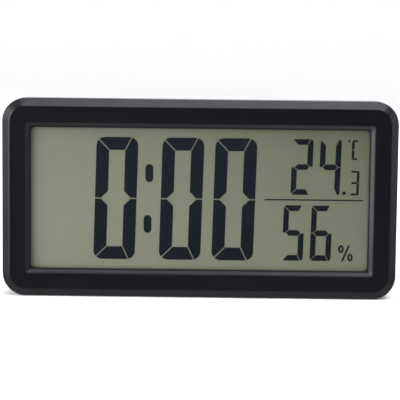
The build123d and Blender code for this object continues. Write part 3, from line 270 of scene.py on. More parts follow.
@dataclass(frozen=True)
class MouldedPlastic:
    """Injection moulded plastic with the grain of its mould and faint flow marks."""

    name: str
    colour: Colour
    grain: Grain
    roughness: float = 0.42
    specular: float = 0.4
    flow_size: float = 40 * MM
    flow_stretch: Sequence[float] = (1.0, 2.2, 2.2)
    flow_shades: Span = (0.88, 1.12)
    speckle_span: Span = (0.35, 0.75)
    speckle_most: float = 0.3
    speckle_shade: float = 1.4
    patch_size: float = 12 * MM
    patch_wear: Span = (-0.03, 0.04)
    ripple_depth: float = 0.01 * MM

    def build(self) -> bpy.types.Material:
        """Build the finish.

        Returns:
            Its material.
        """
        look = SurfaceSheet(self.name)
        size, depth = self.grain.value
        flow = look.noise(self.flow_size, detail=3.0, vector=look.stretched(self.flow_stretch))
        tone = look.mottled(flow, self.colour, *self.flow_shades)
        speckle = look.noise(size, detail=3.0)
        tone = look.blend(look.remap(speckle, self.speckle_span, (0.0, self.speckle_most)), tone,
                          shaded(self.colour, self.speckle_shade))
        patches = look.noise(self.patch_size, detail=3.0)
        rough = look.worn(patches, self.roughness, self.patch_wear)
        tone, rough = self.worked(look, tone, rough)
        ripple = look.bump(patches, self.ripple_depth)
        normal = look.bump(speckle, depth, under=ripple)
        return look.finish(Base_Color=tone, Roughness=rough, Specular_IOR_Level=self.specular,
                           Normal=normal)

    def worked(self, look: SurfaceSheet, tone: Socket, rough: Socket) -> tuple[Socket, Socket]:
        """Return the colour and roughness as the mould leaves them."""
        return tone, rough


@dataclass(frozen=True, kw_only=True)
class FrameWithPaintedBevelLight(MouldedPlastic):
    """Moulded plastic with painted light on the bevel round its window, rougher along both its
    edges.

    A painted highlight runs along the bevel's middle, lightest on the right and darkest along
    the foot, with painted shade along both edges. The foot is rougher still.
    """

    window_width: float
    window_height: float
    window_level: float
    bevel_width: float
    reach_share: float = 1.25
    # Shares across the bevel where the painted highlight is at full strength.
    highlight_from: float = 0.22
    highlight_to: float = 0.52
    dull_from: float = 0.84
    dull_to: float = 0.88
    # The colour at the bevel's edges is darkened to this share as painted shade.
    edge_shade: float = 0.5
    dulling: float = 0.45
    # Painted light on each side of the bevel, lightest on the right and darkest along the foot.
    painted_light_left: Colour = linear(28, 28, 31)
    painted_light_foot: Colour = linear(22, 22, 25)
    painted_light_right: Colour = linear(50, 50, 54)
    painted_light_top: Colour = linear(28, 28, 32)
    foot_from: float = 0.11
    foot_to: float = 0.39
    foot_fade: float = 0.03
    foot_dulling: float = 0.2

    def worked(self, look: SurfaceSheet, tone: Socket, rough: Socket) -> tuple[Socket, Socket]:
        """Paint the bevel's highlight and edge shade into the colour, and roughen its edges and
        foot.

        Args:
            look: The sheet that the nodes go into.
            tone: The colour as the mould leaves it.
            rough: The roughness as the mould leaves it.

        Returns:
            The colour and the roughness.
        """
        at = look.axes()
        x = at["X"]
        z = look.calculate("SUBTRACT", at["Z"], self.window_level)
        across = look.calculate("DIVIDE", x, self.window_width / 2)
        upward = look.calculate("DIVIDE", z, self.window_height / 2)
        flat = look.add("ShaderNodeCombineXYZ", {0: across, 1: upward}).outputs[0]
        turn = look.add("ShaderNodeTexGradient", {0: flat}, gradient_type="RADIAL").outputs["Fac"]
        # Painted light, one colour for each side of the window.
        painted_side_light = look.ramp(turn, (0.0, self.painted_light_left), (0.25, self.painted_light_foot),
                           (0.5, self.painted_light_right), (0.75, self.painted_light_top),
                           (1.0, self.painted_light_left))
        foot = look.ramp(turn, (self.foot_from, BLACK),
                         (self.foot_from + self.foot_fade, WHITE),
                         (self.foot_to - self.foot_fade, WHITE), (self.foot_to, BLACK))
        outward = look.calculate(
            "MAXIMUM",
            look.calculate("SUBTRACT", look.calculate("ABSOLUTE", x), self.window_width / 2),
            look.calculate("SUBTRACT", look.calculate("ABSOLUTE", z), self.window_height / 2))
        share = look.remap(outward, (0.0, self.reach_share * self.bevel_width), (0.0, 1.0))
        dull = look.ramp(share, (0.0, WHITE), (self.highlight_from, BLACK), (self.highlight_to, BLACK),
                         (self.dull_from, WHITE), (self.dull_to, BLACK))
        # Painted highlight along the band's middle and painted shade along both its edges.
        painted_highlight_mask = look.ramp(share, (0.0, BLACK), (self.highlight_from, WHITE), (self.highlight_to, WHITE),
                         (self.dull_from, BLACK))
        painted_highlight_and_shade = look.blend(painted_highlight_mask, shaded(self.colour, self.edge_shade), painted_side_light)
        inside = look.remap(share, (self.dull_from, self.dull_to), (1.0, 0.0))
        tone = look.blend(inside, tone, painted_highlight_and_shade)
        rough = look.calculate("ADD", rough, look.calculate("MULTIPLY", dull, self.dulling))
        worn = look.calculate("MULTIPLY", look.calculate("MULTIPLY", foot, inside),
                              self.foot_dulling)
        return tone, look.calculate("ADD", rough, worn)


@dataclass(frozen=True)
class ClearPane:
    """A clear pane: it mirrors a little and lets the rest of the light through."""

    name: str
    tint: Colour
    ripple_size: float = 18 * MM
    ripple_depth: float = 0.004 * MM
    haze_size: float = 1.5 * MM
    haze: Span = (0.03, 0.06)
    index: float = 1.45

    def build(self) -> bpy.types.Material:
        """Build the finish.

        Returns:
            Its material.
        """
        look = SurfaceSheet(self.name)
        ripple = look.bump(look.noise(self.ripple_size), self.ripple_depth)
        haze = look.spread(look.noise(self.haze_size, detail=4.0), *self.haze)
        gloss = {"Roughness": haze, "Normal": ripple}
        mirror = look.add("ShaderNodeBsdfGlossy", gloss).outputs[0]
        clear = look.add("ShaderNodeBsdfTransparent", {"Color": (*self.tint, 1)}).outputs[0]
        fresnel = look.add("ShaderNodeFresnel", {"IOR": self.index, "Normal": ripple}).outputs[0]
        within = look.add("ShaderNodeNewGeometry").outputs["Backfacing"]
        share = look.calculate("MULTIPLY", fresnel, look.calculate("SUBTRACT", 1.0, within))
        mixed = look.add("ShaderNodeMixShader", {0: share, 1: clear, 2: mirror}).outputs[0]
        look.add("ShaderNodeOutputMaterial", {"Surface": mixed})
        return look.material


@dataclass(frozen=True)
class DisplayFilm:
    """Grey green film with painted shade to the upper right and a painted shadow at the left edge.
    """

    name: str
    # The lit and the dim colours are the two ends of a painted light falloff; dim is the painted
    # shade towards the upper right.
    painted_lit: Colour
    dim: Colour
    left: float
    right: float
    bottom: float
    top: float
    # Painted shadow of the frame along the film's left edge: where it starts fading, where it is
    # gone, and how dark it is.
    painted_shadow_start: float = 1.0 * MM
    painted_shadow_end: float = 3.4 * MM
    painted_shadow_depth: float = 0.45
    across_share: float = 0.6
    upward_share: float = 0.4
    falloff: float = 1.5
    cloud_size: float = 0.5 * MM
    cloud_depth: float = 0.002 * MM
    cloud_shade: float = 0.55
    cloud_most: float = 0.09
    roughness: Span = (0.5, 0.6)
    specular: float = 0.2

    def build(self) -> bpy.types.Material:
        """Build the finish.

        Returns:
            Its material.
        """
        look = SurfaceSheet(self.name)
        at = look.axes()
        # Painted light falloff: lighter at the lower left, painted shade towards the upper right.
        across = look.remap(at["X"], (self.left, self.right), (0.0, self.across_share))
        upward = look.remap(at["Z"], (self.bottom, self.top), (0.0, self.upward_share))
        share = look.calculate("POWER", look.calculate("ADD", across, upward), self.falloff)
        tone = look.blend(share, self.painted_lit, self.dim)
        # Painted shadow of the frame's left wall, fading out a few millimetres in from the film's
        # left edge.
        shade = look.remap(at["X"], (self.left + self.painted_shadow_start, self.left + self.painted_shadow_end),
                           (self.painted_shadow_depth, 0.0))
        tone = look.blend(shade, tone, BLACK)
        cloud = look.noise(self.cloud_size, detail=4.0)
        tone = look.clouded(cloud, tone, shaded(self.dim, self.cloud_shade), self.cloud_most)
        return look.finish(Base_Color=tone, Roughness=look.spread(cloud, *self.roughness),
                           Specular_IOR_Level=self.specular,
                           Normal=look.bump(cloud, self.cloud_depth))


@dataclass(frozen=True)
class DisplayInk:
    """Dark blue black of the display's driven strokes."""

    name: str
    colour: Colour
    bottom: float
    top: float
    lift: float = 0.45
    lift_shade: float = 1.4
    cloud_size: float = 1.2 * MM
    cloud_shade: float = 0.7
    cloud_most: float = 0.3
    roughness: Span = (0.45, 0.55)
    specular: float = 0.2

    def build(self) -> bpy.types.Material:
        """Build the finish.

        Returns:
            Its material.
        """
        look = SurfaceSheet(self.name)
        cloud = look.noise(self.cloud_size, detail=4.0)
        lift = look.remap(look.axes()["Z"], (self.bottom, self.top), (0.0, self.lift))
        tone = look.blend(lift, self.colour, shaded(self.colour, self.lift_shade))
        tone = look.clouded(cloud, tone, shaded(self.colour, self.cloud_shade), self.cloud_most)
        return look.finish(Base_Color=tone, Roughness=look.spread(cloud, *self.roughness),
                           Specular_IOR_Level=self.specular)


@dataclass(frozen=True)
class PlateGlass:
    """Thin float glass of the display cell, green towards its edges."""

    name: str
    colour: Colour
    edge_shade: float = 0.45
    edge_blend: float = 0.35
    ripple_size: float = 9 * MM
    ripple_depth: float = 0.003 * MM
    smear_size: float = 2 * MM
    smear: Span = (0.04, 0.09)
    clearness: float = 0.35
    index: float = 1.52

    def build(self) -> bpy.types.Material:
        """Build the finish.

        Returns:
            Its material.
        """
        look = SurfaceSheet(self.name)
        edge = look.add("ShaderNodeLayerWeight", {"Blend": self.edge_blend}).outputs["Facing"]
        tone = look.blend(edge, self.colour, shaded(self.colour, self.edge_shade))
        ripple = look.bump(look.noise(self.ripple_size), self.ripple_depth)
        rough = look.spread(look.noise(self.smear_size), *self.smear)
        return look.finish(Base_Color=tone, Roughness=rough, Normal=ripple,
                           Transmission_Weight=self.clearness, IOR=self.index)


@dataclass(frozen=True)
class RolledMetal:
    """Bare or plated metal with rolling marks along one axis and faint spots."""

    name: str
    colour: Colour
    roughness: float = 0.3
    lay: Sequence[float] = (30.0, 1.0, 1.0)
    depth: float = 0.004 * MM
    mark_size: float = 3 * MM
    mark_wear: Span = (-0.07, 0.1)
    spot_size: float = 1.4 * MM
    spot_shade: float = 0.82
    spot_start: float = 0.3
    spot_end: float = 0.65

    def build(self) -> bpy.types.Material:
        """Build the finish.

        Returns:
            Its material.
        """
        look = SurfaceSheet(self.name)
        marks = look.noise(self.mark_size, detail=4.0, vector=look.stretched(self.lay))
        spots = look.noise(self.spot_size, detail=3.0)
        tone = look.ramp(spots, (self.spot_start, shaded(self.colour, self.spot_shade)),
                         (self.spot_end, self.colour))
        rough = look.worn(marks, self.roughness, self.mark_wear)
        return look.finish(Base_Color=tone, Metallic=1.0, Roughness=rough,
                           Normal=look.bump(marks, self.depth))


@dataclass(frozen=True)
class Laminate:
    """Glass fibre board under a green mask, with its weave showing faintly."""

    name: str
    mask: Colour
    edge: Colour
    weave_pitch: float = 0.95 * MM
    weave_depth: float = 0.006 * MM
    weave_span: Span = (0.2, 1.0)
    weave_most: float = 0.5
    weave_shade: float = 1.5
    side_span: Span = (0.4, 0.6)
    grit_size: float = 0.3 * MM
    grit_stretch: Sequence[float] = (1.0, 6.0, 1.0)
    grit_shade: float = 0.6
    roughness: Span = (0.28, 0.4)

    def build(self) -> bpy.types.Material:
        """Build the finish.

        Returns:
            Its material.
        """
        look = SurfaceSheet(self.name)
        warp, weft = (look.wave(self.weave_pitch, axis) for axis in "XZ")
        weave = look.calculate("MAXIMUM", warp, weft)
        tone = look.blend(look.remap(weave, self.weave_span, (0.0, self.weave_most)), self.mask,
                          shaded(self.mask, self.weave_shade))
        facing = look.add("ShaderNodeNewGeometry").outputs["Normal"]
        turn = look.add("ShaderNodeSeparateXYZ", {0: facing}).outputs["Y"]
        side = look.remap(look.calculate("ABSOLUTE", turn), self.side_span, (1.0, 0.0))
        grit = look.noise(self.grit_size, detail=3.0, vector=look.stretched(self.grit_stretch))
        bare = look.blend(grit, self.edge, shaded(self.edge, self.grit_shade))
        tone = look.blend(side, tone, bare)
        return look.finish(Base_Color=tone, Roughness=look.spread(grit, *self.roughness),
                           Normal=look.bump(weave, self.weave_depth))


@dataclass(frozen=True)
class StripedRubber:
    """Elastomer with dark conducting stripes across its length."""

    name: str
    rubber: Colour
    stripe: Colour
    pitch: float = 0.8 * MM
    stripe_span: Span = (0.45, 0.55)
    grit_size: float = 0.4 * MM
    grit_depth: float = 0.01 * MM
    roughness: Span = (0.6, 0.75)

    def build(self) -> bpy.types.Material:
        """Build the finish.

        Returns:
            Its material.
        """
        look = SurfaceSheet(self.name)
        wave = look.wave(self.pitch, "X")
        striped = look.remap(wave, self.stripe_span, (0.0, 1.0))
        tone = look.blend(striped, self.rubber, self.stripe)
        grit = look.noise(self.grit_size, detail=3.0)
        return look.finish(Base_Color=tone, Roughness=look.spread(grit, *self.roughness),
                           Normal=look.bump(grit, self.grit_depth))


@dataclass(frozen=True)
class SoftCoat:
    """Rubber, tape, wire sleeve or cast resin: a soft surface with fine pores."""

    name: str
    colour: Colour
    roughness: float = 0.5
    pore: float = 0.4 * MM
    depth: float = 0.01 * MM
    coat: float = 0.0
    coat_roughness: float = 0.08
    cloud_size: float = 6 * MM
    cloud_shades: Span = (0.8, 1.2)
    cloud_wear: Span = (-0.05, 0.07)

    def build(self) -> bpy.types.Material:
        """Build the finish.

        Returns:
            Its material.
        """
        look = SurfaceSheet(self.name)
        cloud = look.noise(self.cloud_size, detail=3.0)
        return look.finish(Base_Color=look.mottled(cloud, self.colour, *self.cloud_shades),
                           Roughness=look.worn(cloud, self.roughness, self.cloud_wear),
                           Coat_Weight=self.coat, Coat_Roughness=self.coat_roughness,
                           Normal=look.bump(look.cells(self.pore), self.depth))


@dataclass(frozen=True)
class CellSleeve:
    """Printed film round a dry cell, with bare steel at both ends."""

    name: str
    film: Colour
    band: Colour
    steel: Colour
    plus_end: float
    minus_end: float
    foot_share: float = 0.016
    shoulder_share: float = 0.96
    band_start_share: float = 0.70
    band_end_share: float = 0.93
    soft_share: float = 0.002
    cloud_size: float = 5 * MM
    cloud_stretch: Sequence[float] = (0.4, 1.0, 1.0)
    cloud_depth: float = 0.01 * MM
    cloud_shade: float = 0.6
    cloud_most: float = 0.25
    roughness: Span = (0.24, 0.34)

    def build(self) -> bpy.types.Material:
        """Build the finish.

        Returns:
            Its material.
        """
        look = SurfaceSheet(self.name)
        along = look.remap(look.axes()["X"], (self.minus_end, self.plus_end), (0.0, 1.0))
        bare = look.ramp(along, (self.foot_share - self.soft_share, WHITE),
                         (self.foot_share + self.soft_share, BLACK),
                         (self.shoulder_share - self.soft_share, BLACK),
                         (self.shoulder_share + self.soft_share, WHITE))
        band = look.ramp(along, (0.0, self.film), (self.band_start_share, self.film),
                         (self.band_start_share + self.soft_share, self.band),
                         (self.band_end_share, self.band))
        cloud = look.noise(self.cloud_size, detail=4.0, vector=look.stretched(self.cloud_stretch))
        film = look.clouded(cloud, band, shaded(self.film, self.cloud_shade), self.cloud_most)
        return look.finish(Base_Color=look.blend(bare, film, self.steel), Metallic=bare,
                           Roughness=look.spread(cloud, *self.roughness),
                           Normal=look.bump(cloud, self.cloud_depth))


@dataclass(frozen=True)
class StudioPaper:
    """Pale paper of the floor and the wall that it sweeps up into."""

    name: str
    colour: Colour
    cloud_size: float = 300 * MM
    cloud_shades: Span = (0.985, 1.0)
    tooth_size: float = 4 * MM
    tooth_depth: float = 0.05 * MM
    roughness: float = 0.9
    specular: float = 0.1

    def build(self) -> bpy.types.Material:
        """Build the finish.

        Returns:
            Its material.
        """
        look = SurfaceSheet(self.name)
        cloud = look.noise(self.cloud_size, detail=3.0)
        tooth = look.bump(look.noise(self.tooth_size, detail=3.0), self.tooth_depth)
        return look.finish(Base_Color=look.mottled(cloud, self.colour, *self.cloud_shades),
                           Roughness=self.roughness, Specular_IOR_Level=self.specular,
                           Normal=tooth)


class Shop:
    """Builds each finish once and hands out its material."""

    def __init__(self) -> None:
        """Start with no materials made."""
        self.made: dict[str, bpy.types.Material] = {}

    def material(self, finish: Finish) -> bpy.types.Material:
        """Look up a finish, and build it the first time that it is asked for.

        Args:
            finish: The finish.

        Returns:
            Its material.
        """
        if finish.name not in self.made:
            self.made[finish.name] = finish.build()
        return self.made[finish.name]

    def dress(self, finish: Finish, *nodes: str) -> None:
        """Give the CAD nodes of these names one finish.

        Args:
            finish: The finish that every slot of the nodes gets.
            *nodes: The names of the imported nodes.
        """
        for name in nodes:
            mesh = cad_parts[name].data
            mesh.materials.clear()
            mesh.materials.append(self.material(finish))
            log.info("dressed %s in %s", name, finish.name)


SHOP = Shop()

CASE_BLACK = linear(13, 12, 17)
COVER_PLASTIC = MouldedPlastic("cover_spark_plastic", linear(22, 22, 25), Grain.SPARK,
                               roughness=0.5)
STAND_PLASTIC = MouldedPlastic("stand_spark_plastic", linear(21, 21, 24), Grain.FINE_SPARK,
                               roughness=0.46)
KEY_PLASTIC = MouldedPlastic("key_plastic", linear(48, 49, 53), Grain.FINE_SPARK,
                             roughness=0.38, specular=0.45)
BRACKET_PLASTIC = MouldedPlastic("bracket_plastic", linear(196, 196, 190), Grain.FINE_SPARK,
                                 roughness=0.5)
SWITCH_PLASTIC = MouldedPlastic("switch_body_plastic", linear(38, 38, 40), Grain.POLISHED,
                                roughness=0.35)
PLUNGER_PLASTIC = MouldedPlastic("plunger_plastic", linear(34, 33, 35), Grain.POLISHED,
                                 roughness=0.3)
SENSOR_PLASTIC = MouldedPlastic("sensor_case_plastic", linear(222, 224, 220), Grain.POLISHED,
                                roughness=0.4)
BEAD_RESIN = SoftCoat("temperature_bead_resin", linear(30, 26, 24), roughness=0.25,
                      pore=2 * MM, depth=0.01 * MM, coat=0.5)
GASKET_TAPE = SoftCoat("gasket_foam_tape", linear(22, 22, 24), roughness=0.75,
                       pore=0.25 * MM, depth=0.02 * MM)
LENS_PANE = ClearPane("lens_clear_pane", (0.99, 0.995, 0.99))
DISPLAY_GLASS = PlateGlass("display_plate_glass", linear(150, 165, 152))
REFLECTOR_FOIL = RolledMetal("reflector_foil", linear(205, 206, 202), roughness=0.42,
                             lay=(1.0, 1.0, 18.0))
ZEBRA_RUBBER = StripedRubber("zebra_rubber", linear(205, 200, 190), linear(38, 36, 36))
BOARD_LAMINATE = Laminate("board_laminate", linear(24, 84, 52), linear(188, 172, 118))
BLACK_EPOXY = SoftCoat("black_epoxy", linear(22, 21, 22), roughness=0.22, pore=3 * MM,
                       depth=0.05 * MM, coat=0.4)
STEEL_CAN = RolledMetal("steel_can", linear(206, 204, 198), roughness=0.25,
                        lay=(1.0, 12.0, 12.0))
CAPACITOR_SLEEVE = SoftCoat("capacitor_sleeve", linear(34, 40, 58), roughness=0.35,
                            pore=0.8 * MM, depth=0.004 * MM, coat=0.3)
RESISTOR_BODY = SoftCoat("resistor_body", linear(28, 27, 28), roughness=0.4, pore=0.3 * MM,
                         depth=0.004 * MM)
RED_WIRE = SoftCoat("red_insulation", linear(176, 26, 24), roughness=0.38, pore=0.5 * MM,
                    depth=0.006 * MM, coat=0.2)
BLACK_WIRE = SoftCoat("black_insulation", linear(26, 26, 27), roughness=0.38, pore=0.5 * MM,
                      depth=0.006 * MM, coat=0.2)
PLATED_STEEL = RolledMetal("plated_steel", linear(196, 198, 200), roughness=0.24,
                           lay=(1.0, 1.0, 22.0))
SCREW_STEEL = RolledMetal("screw_steel", linear(158, 160, 164), roughness=0.32,
                          lay=(9.0, 9.0, 9.0))
SOLDER = RolledMetal("solder", linear(188, 190, 192), roughness=0.2, lay=(2.0, 2.0, 2.0),
                     depth=0.02 * MM)
TRACE_MASK = SoftCoat("masked_copper", linear(46, 118, 72), roughness=0.3, pore=0.6 * MM,
                      depth=0.004 * MM)
STROKE_INK = linear(14, 21, 29)
CELL_FILM = linear(206, 208, 204)
CELL_BAND = linear(52, 88, 96)
CELL_STEEL = linear(205, 206, 208)
STUDIO_PAPER = StudioPaper("studio_paper", (0.93, 0.93, 0.93))
# Lit and shaded ends of the display film's painted light falloff.
FILM_PAINTED_LIT = linear(117, 118, 102)
FILM_PAINTED_SHADE = linear(85, 87, 71)


class GeometryRecipe(NodeSheet):
    """A Geometry Nodes tree with named inputs for its sizes."""

    def __init__(self, name: str, sizes: Mapping[str, float | int]) -> None:
        """Start a tree with one input for each named size.

        Args:
            name: The tree's name.
            sizes: What each input is called and set to.
        """
        super().__init__(bpy.data.node_groups.new(name, "GeometryNodeTree"))
        self.sizes = dict(sizes)
        face = self.tree.interface
        face.new_socket("Geometry", in_out="INPUT", socket_type="NodeSocketGeometry")
        for label, size in self.sizes.items():
            kind = "NodeSocketInt" if isinstance(size, int) else "NodeSocketFloat"
            face.new_socket(label, in_out="INPUT", socket_type=kind)
        face.new_socket("Geometry", in_out="OUTPUT", socket_type="NodeSocketGeometry")
        self.given = self.add("NodeGroupInput").outputs

    def part(self, label: str, share: float | Socket) -> Socket:
        """Return a share of one of the named sizes."""
        return self.calculate("MULTIPLY", self.given[label], share)

    def vector(self, x: float | Socket = 0.0, y: float | Socket = 0.0,
               z: float | Socket = 0.0) -> Socket:
        """Return a vector of three numbers, any of which may be worked out."""
        return self.add("ShaderNodeCombineXYZ", {0: x, 1: y, 2: z}).outputs[0]

    def cone(self, low: float | Socket, high: float | Socket, height: float | Socket,
             base: float | Socket = 0.0, sides: int = 28) -> Socket:
        """Add a cone or cylinder that stands along Z.

        Args:
            low: The radius at its foot.
            high: The radius at its top.
            height: Its height.
            base: The level of its foot.
            sides: How many sides it has.

        Returns:
            The shape.
        """
        mesh = self.add("GeometryNodeMeshCone", {"Vertices": sides, "Radius Bottom": low,
                                                 "Radius Top": high, "Depth": height})
        return self.moved(mesh.outputs[0], self.vector(z=base))

    def block(self, x: float | Socket, y: float | Socket, z: float | Socket,
              place: Socket | None = None) -> Socket:
        """Return a block of these sizes, with its centre at a place or at the origin."""
        mesh = self.add("GeometryNodeMeshCube", {"Size": self.vector(x, y, z)}).outputs[0]
        return mesh if place is None else self.moved(mesh, place)

    def moved(self, shape: Socket, shift: Socket | Sequence[float],
              turn: Sequence[float] = (0, 0, 0)) -> Socket:
        """Return a shape turned about each axis and then moved."""
        return self.add("GeometryNodeTransform", {"Geometry": shape, "Translation": shift,
                                                  "Rotation": turn}).outputs[0]

    def joined(self, *shapes: Socket) -> Socket:
        """Join shapes without merging them.

        Args:
            *shapes: The shapes.

        Returns:
            All of them as one.
        """
        node = self.add("GeometryNodeJoinGeometry")
        for shape in shapes:
            self.tree.links.new(shape, node.inputs[0])
        return node.outputs[0]

    def cut(self, shape: Socket, *tools: Socket) -> Socket:
        """Cut tools from a shape.

        Args:
            shape: The shape.
            *tools: The closed shapes that are taken from it.

        Returns:
            What is left.
        """
        node = self.add("GeometryNodeMeshBoolean", {"Mesh 1": shape}, operation="DIFFERENCE",
                        solver="EXACT")
        for tool in tools:
            self.tree.links.new(tool, node.inputs["Mesh 2"])
        return node.outputs[0]

    def swept(self, path: Socket, profile: Socket) -> Socket:
        """Return a profile swept along a path, closed at both ends."""
        return self.add("GeometryNodeCurveToMesh", {"Curve": path, "Profile Curve": profile,
                                                    "Fill Caps": True}).outputs[0]

    def finished(self, shape: Socket, finish: Finish) -> Socket:
        """Put a finish on a shape.

        Args:
            shape: The shape.
            finish: The finish.

        Returns:
            The dressed shape.
        """
        node = self.add("GeometryNodeSetMaterial", {"Geometry": shape})
        node.inputs["Material"].default_value = SHOP.material(finish)
        return node.outputs[0]

    def stood(self, shape: Socket) -> Socket:
        """Return the shape stood on each given point, turned so that its Z lies along +Y."""
        return self.add("GeometryNodeInstanceOnPoints", {
            "Points": self.given["Geometry"], "Instance": shape,
            "Rotation": (-math.pi / 2, 0, 0)}).outputs[0]

    def close(self, shape: Socket, finish: Finish | None = None) -> None:
        """End the tree in real geometry.

        Args:
            shape: The shape.
            finish: The finish of all of it, if its parts have none of their own.
        """
        real = self.add("GeometryNodeRealizeInstances", {"Geometry": shape}).outputs[0]
        self.add("NodeGroupOutput", {0: real if finish is None else self.finished(real, finish)})

    def bake(self, name: str, places: Sequence[Vector],
             runs: Sequence[tuple[int, int]] = ()) -> bpy.types.Object:
        """Run the tree over some points and keep the result as a plain mesh.

        Args:
            name: The new piece's name.
            places: The points that the tree starts from.
            runs: Pairs of points that are joined by an edge.

        Returns:
            The new piece, with no modifier left on it.
        """
        start = bpy.data.meshes.new(f"{name}_start")
        start.from_pydata(places, runs, [])
        piece = added(name, start)
        recipe = piece.modifiers.new("recipe", "NODES")
        recipe.node_group = self.tree
        for item in self.tree.interface.items_tree:
            if item.in_out == "INPUT" and item.name in self.sizes:
                recipe[item.identifier] = self.sizes[item.name]
        graph = bpy.context.evaluated_depsgraph_get()
        mesh = bpy.data.meshes.new_from_object(piece.evaluated_get(graph), depsgraph=graph)
        piece.modifiers.remove(recipe)
        piece.data = mesh
        mesh.name = name
        mesh.shade_smooth()
        mesh.set_sharp_from_angle(angle=SHARP_EDGE)
        log.info("made %s with %d faces", name, len(mesh.polygons))
        return piece


class ScrewSize(Enum):
    """Screws by the radius and height of the head and the radius of the shank."""

    CASE = (2.1 * MM, 1.6 * MM, 1.15 * MM)
    PANEL = (1.9 * MM, 1.3 * MM, 0.95 * MM)


@dataclass
class PanScrew:
    """Pan head screw with a cross recess and a thread, along Y with its head at +Y."""

    node: str
    head_radius: float
    head_height: float
    shank_radius: float
    thread_pitch: float = 0.9 * MM
    point_length: float = 1.2 * MM
    crown_share: float = 0.78
    cross_span_share: float = 1.25
    cross_width_share: float = 0.28
    core_share: float = 0.82
    ridge_share: float = 0.12
    shank_sides: int = 20
    points_per_turn: int = 14
    ridge_sides: int = 4

    def places(self) -> tuple[list[Vector], float]:
        """Read the seats from the node's box.

        Returns:
            The middle of each head's underside, and the length below it.
        """
        low, high = (Vector(corner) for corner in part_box(self.node))
        seat = high.y - self.head_height
        levels = sorted({round(low.z + self.head_radius, 6), round(high.z - self.head_radius, 6)})
        side = high.x - self.head_radius
        return [Vector((x, seat, z)) for x in (-side, side) for z in levels], seat - low.y

    def head(self, tree: GeometryRecipe) -> Socket:
        """Cut the cross into a domed head.

        Args:
            tree: The tree that the nodes go into.

        Returns:
            The head, from its seat up.
        """
        size = tree.given
        rim = tree.part("Head Height", 0.5)
        crown = tree.part("Head Radius", self.crown_share)
        washer = tree.cone(size["Head Radius"], size["Head Radius"], rim)
        dome = tree.cone(size["Head Radius"], crown, rim, rim)
        wide = tree.part("Head Radius", self.cross_span_share)
        thin = tree.part("Head Radius", self.cross_width_share)
        middle = tree.vector(z=size["Head Height"])
        cross = (tree.block(wide, thin, size["Head Height"], middle),
                 tree.block(thin, wide, size["Head Height"], middle))
        return tree.joined(tree.cut(washer, *cross), tree.cut(dome, *cross))

    def shank(self, tree: GeometryRecipe) -> Socket:
        """Make the shank with its point and wind the thread round it.

        Args:
            tree: The tree that the nodes go into.

        Returns:
            The shank, from the head's seat down.
        """
        size = tree.given
        core = tree.part("Shank Radius", self.core_share)
        below = tree.calculate("SUBTRACT", size["Point Length"], size["Length"])
        straight = tree.calculate("SUBTRACT", size["Length"], size["Point Length"])
        rod = tree.cone(core, core, straight, below, self.shank_sides)
        tip = tree.cone(0.0, core, size["Point Length"], tree.part("Length", -1.0),
                        self.shank_sides)
        turns = tree.calculate("DIVIDE", straight, size["Thread Pitch"])
        rise = tree.part("Shank Radius", self.ridge_share)
        crest = tree.calculate("SUBTRACT", size["Shank Radius"], rise)
        helix = tree.add("GeometryNodeCurveSpiral", {
            "Resolution": self.points_per_turn, "Rotations": turns, "Start Radius": crest,
            "End Radius": crest, "Height": straight}).outputs[0]
        ridge = tree.add("GeometryNodeCurvePrimitiveCircle", {"Resolution": self.ridge_sides,
                                                              "Radius": rise})
        thread = tree.moved(tree.swept(helix, ridge.outputs[0]), tree.vector(z=below))
        return tree.joined(rod, tip, thread)

    def build(self) -> bpy.types.Object:
        """Make the screws and let them stand for their node.

        Returns:
            The screws as one piece.
        """
        seats, length = self.places()
        tree = GeometryRecipe(f"{self.node}_recipe", {
            "Head Radius": self.head_radius, "Head Height": self.head_height,
            "Shank Radius": self.shank_radius, "Length": length,
            "Thread Pitch": self.thread_pitch, "Point Length": self.point_length})
        tree.close(tree.stood(tree.joined(self.head(tree), self.shank(tree))), SCREW_STEEL)
        piece = tree.bake(f"{self.node}_turned", seats)
        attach(piece, "case")
        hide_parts(self.node)
        return piece


@dataclass
class Housing:
    """Front bezel, rear cover and the screws that hold them together."""

    lens_overlap: float = 2.0 * MM
    window_bevel: float = 1.9 * MM
    screws: ScrewSize = ScrewSize.CASE

    def bezel(self) -> FrameWithPaintedBevelLight:
        """Fit the bezel's finish round its window, which the pane overlaps on every side.

        Returns:
            The finish.
        """
        low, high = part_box("display_lens")
        return FrameWithPaintedBevelLight("bezel_satin_plastic", CASE_BLACK, Grain.SATIN, roughness=0.32,
                           specular=0.3,
                           window_width=high[0] - low[0] - 2 * self.lens_overlap,
                           window_height=high[2] - low[2] - 2 * self.lens_overlap,
                           window_level=(low[2] + high[2]) / 2, bevel_width=self.window_bevel)

    def build(self) -> None:
        """Dress the two mouldings and make the screws."""
        SHOP.dress(self.bezel(), "front_bezel")
        SHOP.dress(COVER_PLASTIC, "rear_cover")
        PanScrew("case_screws", *self.screws.value).build()


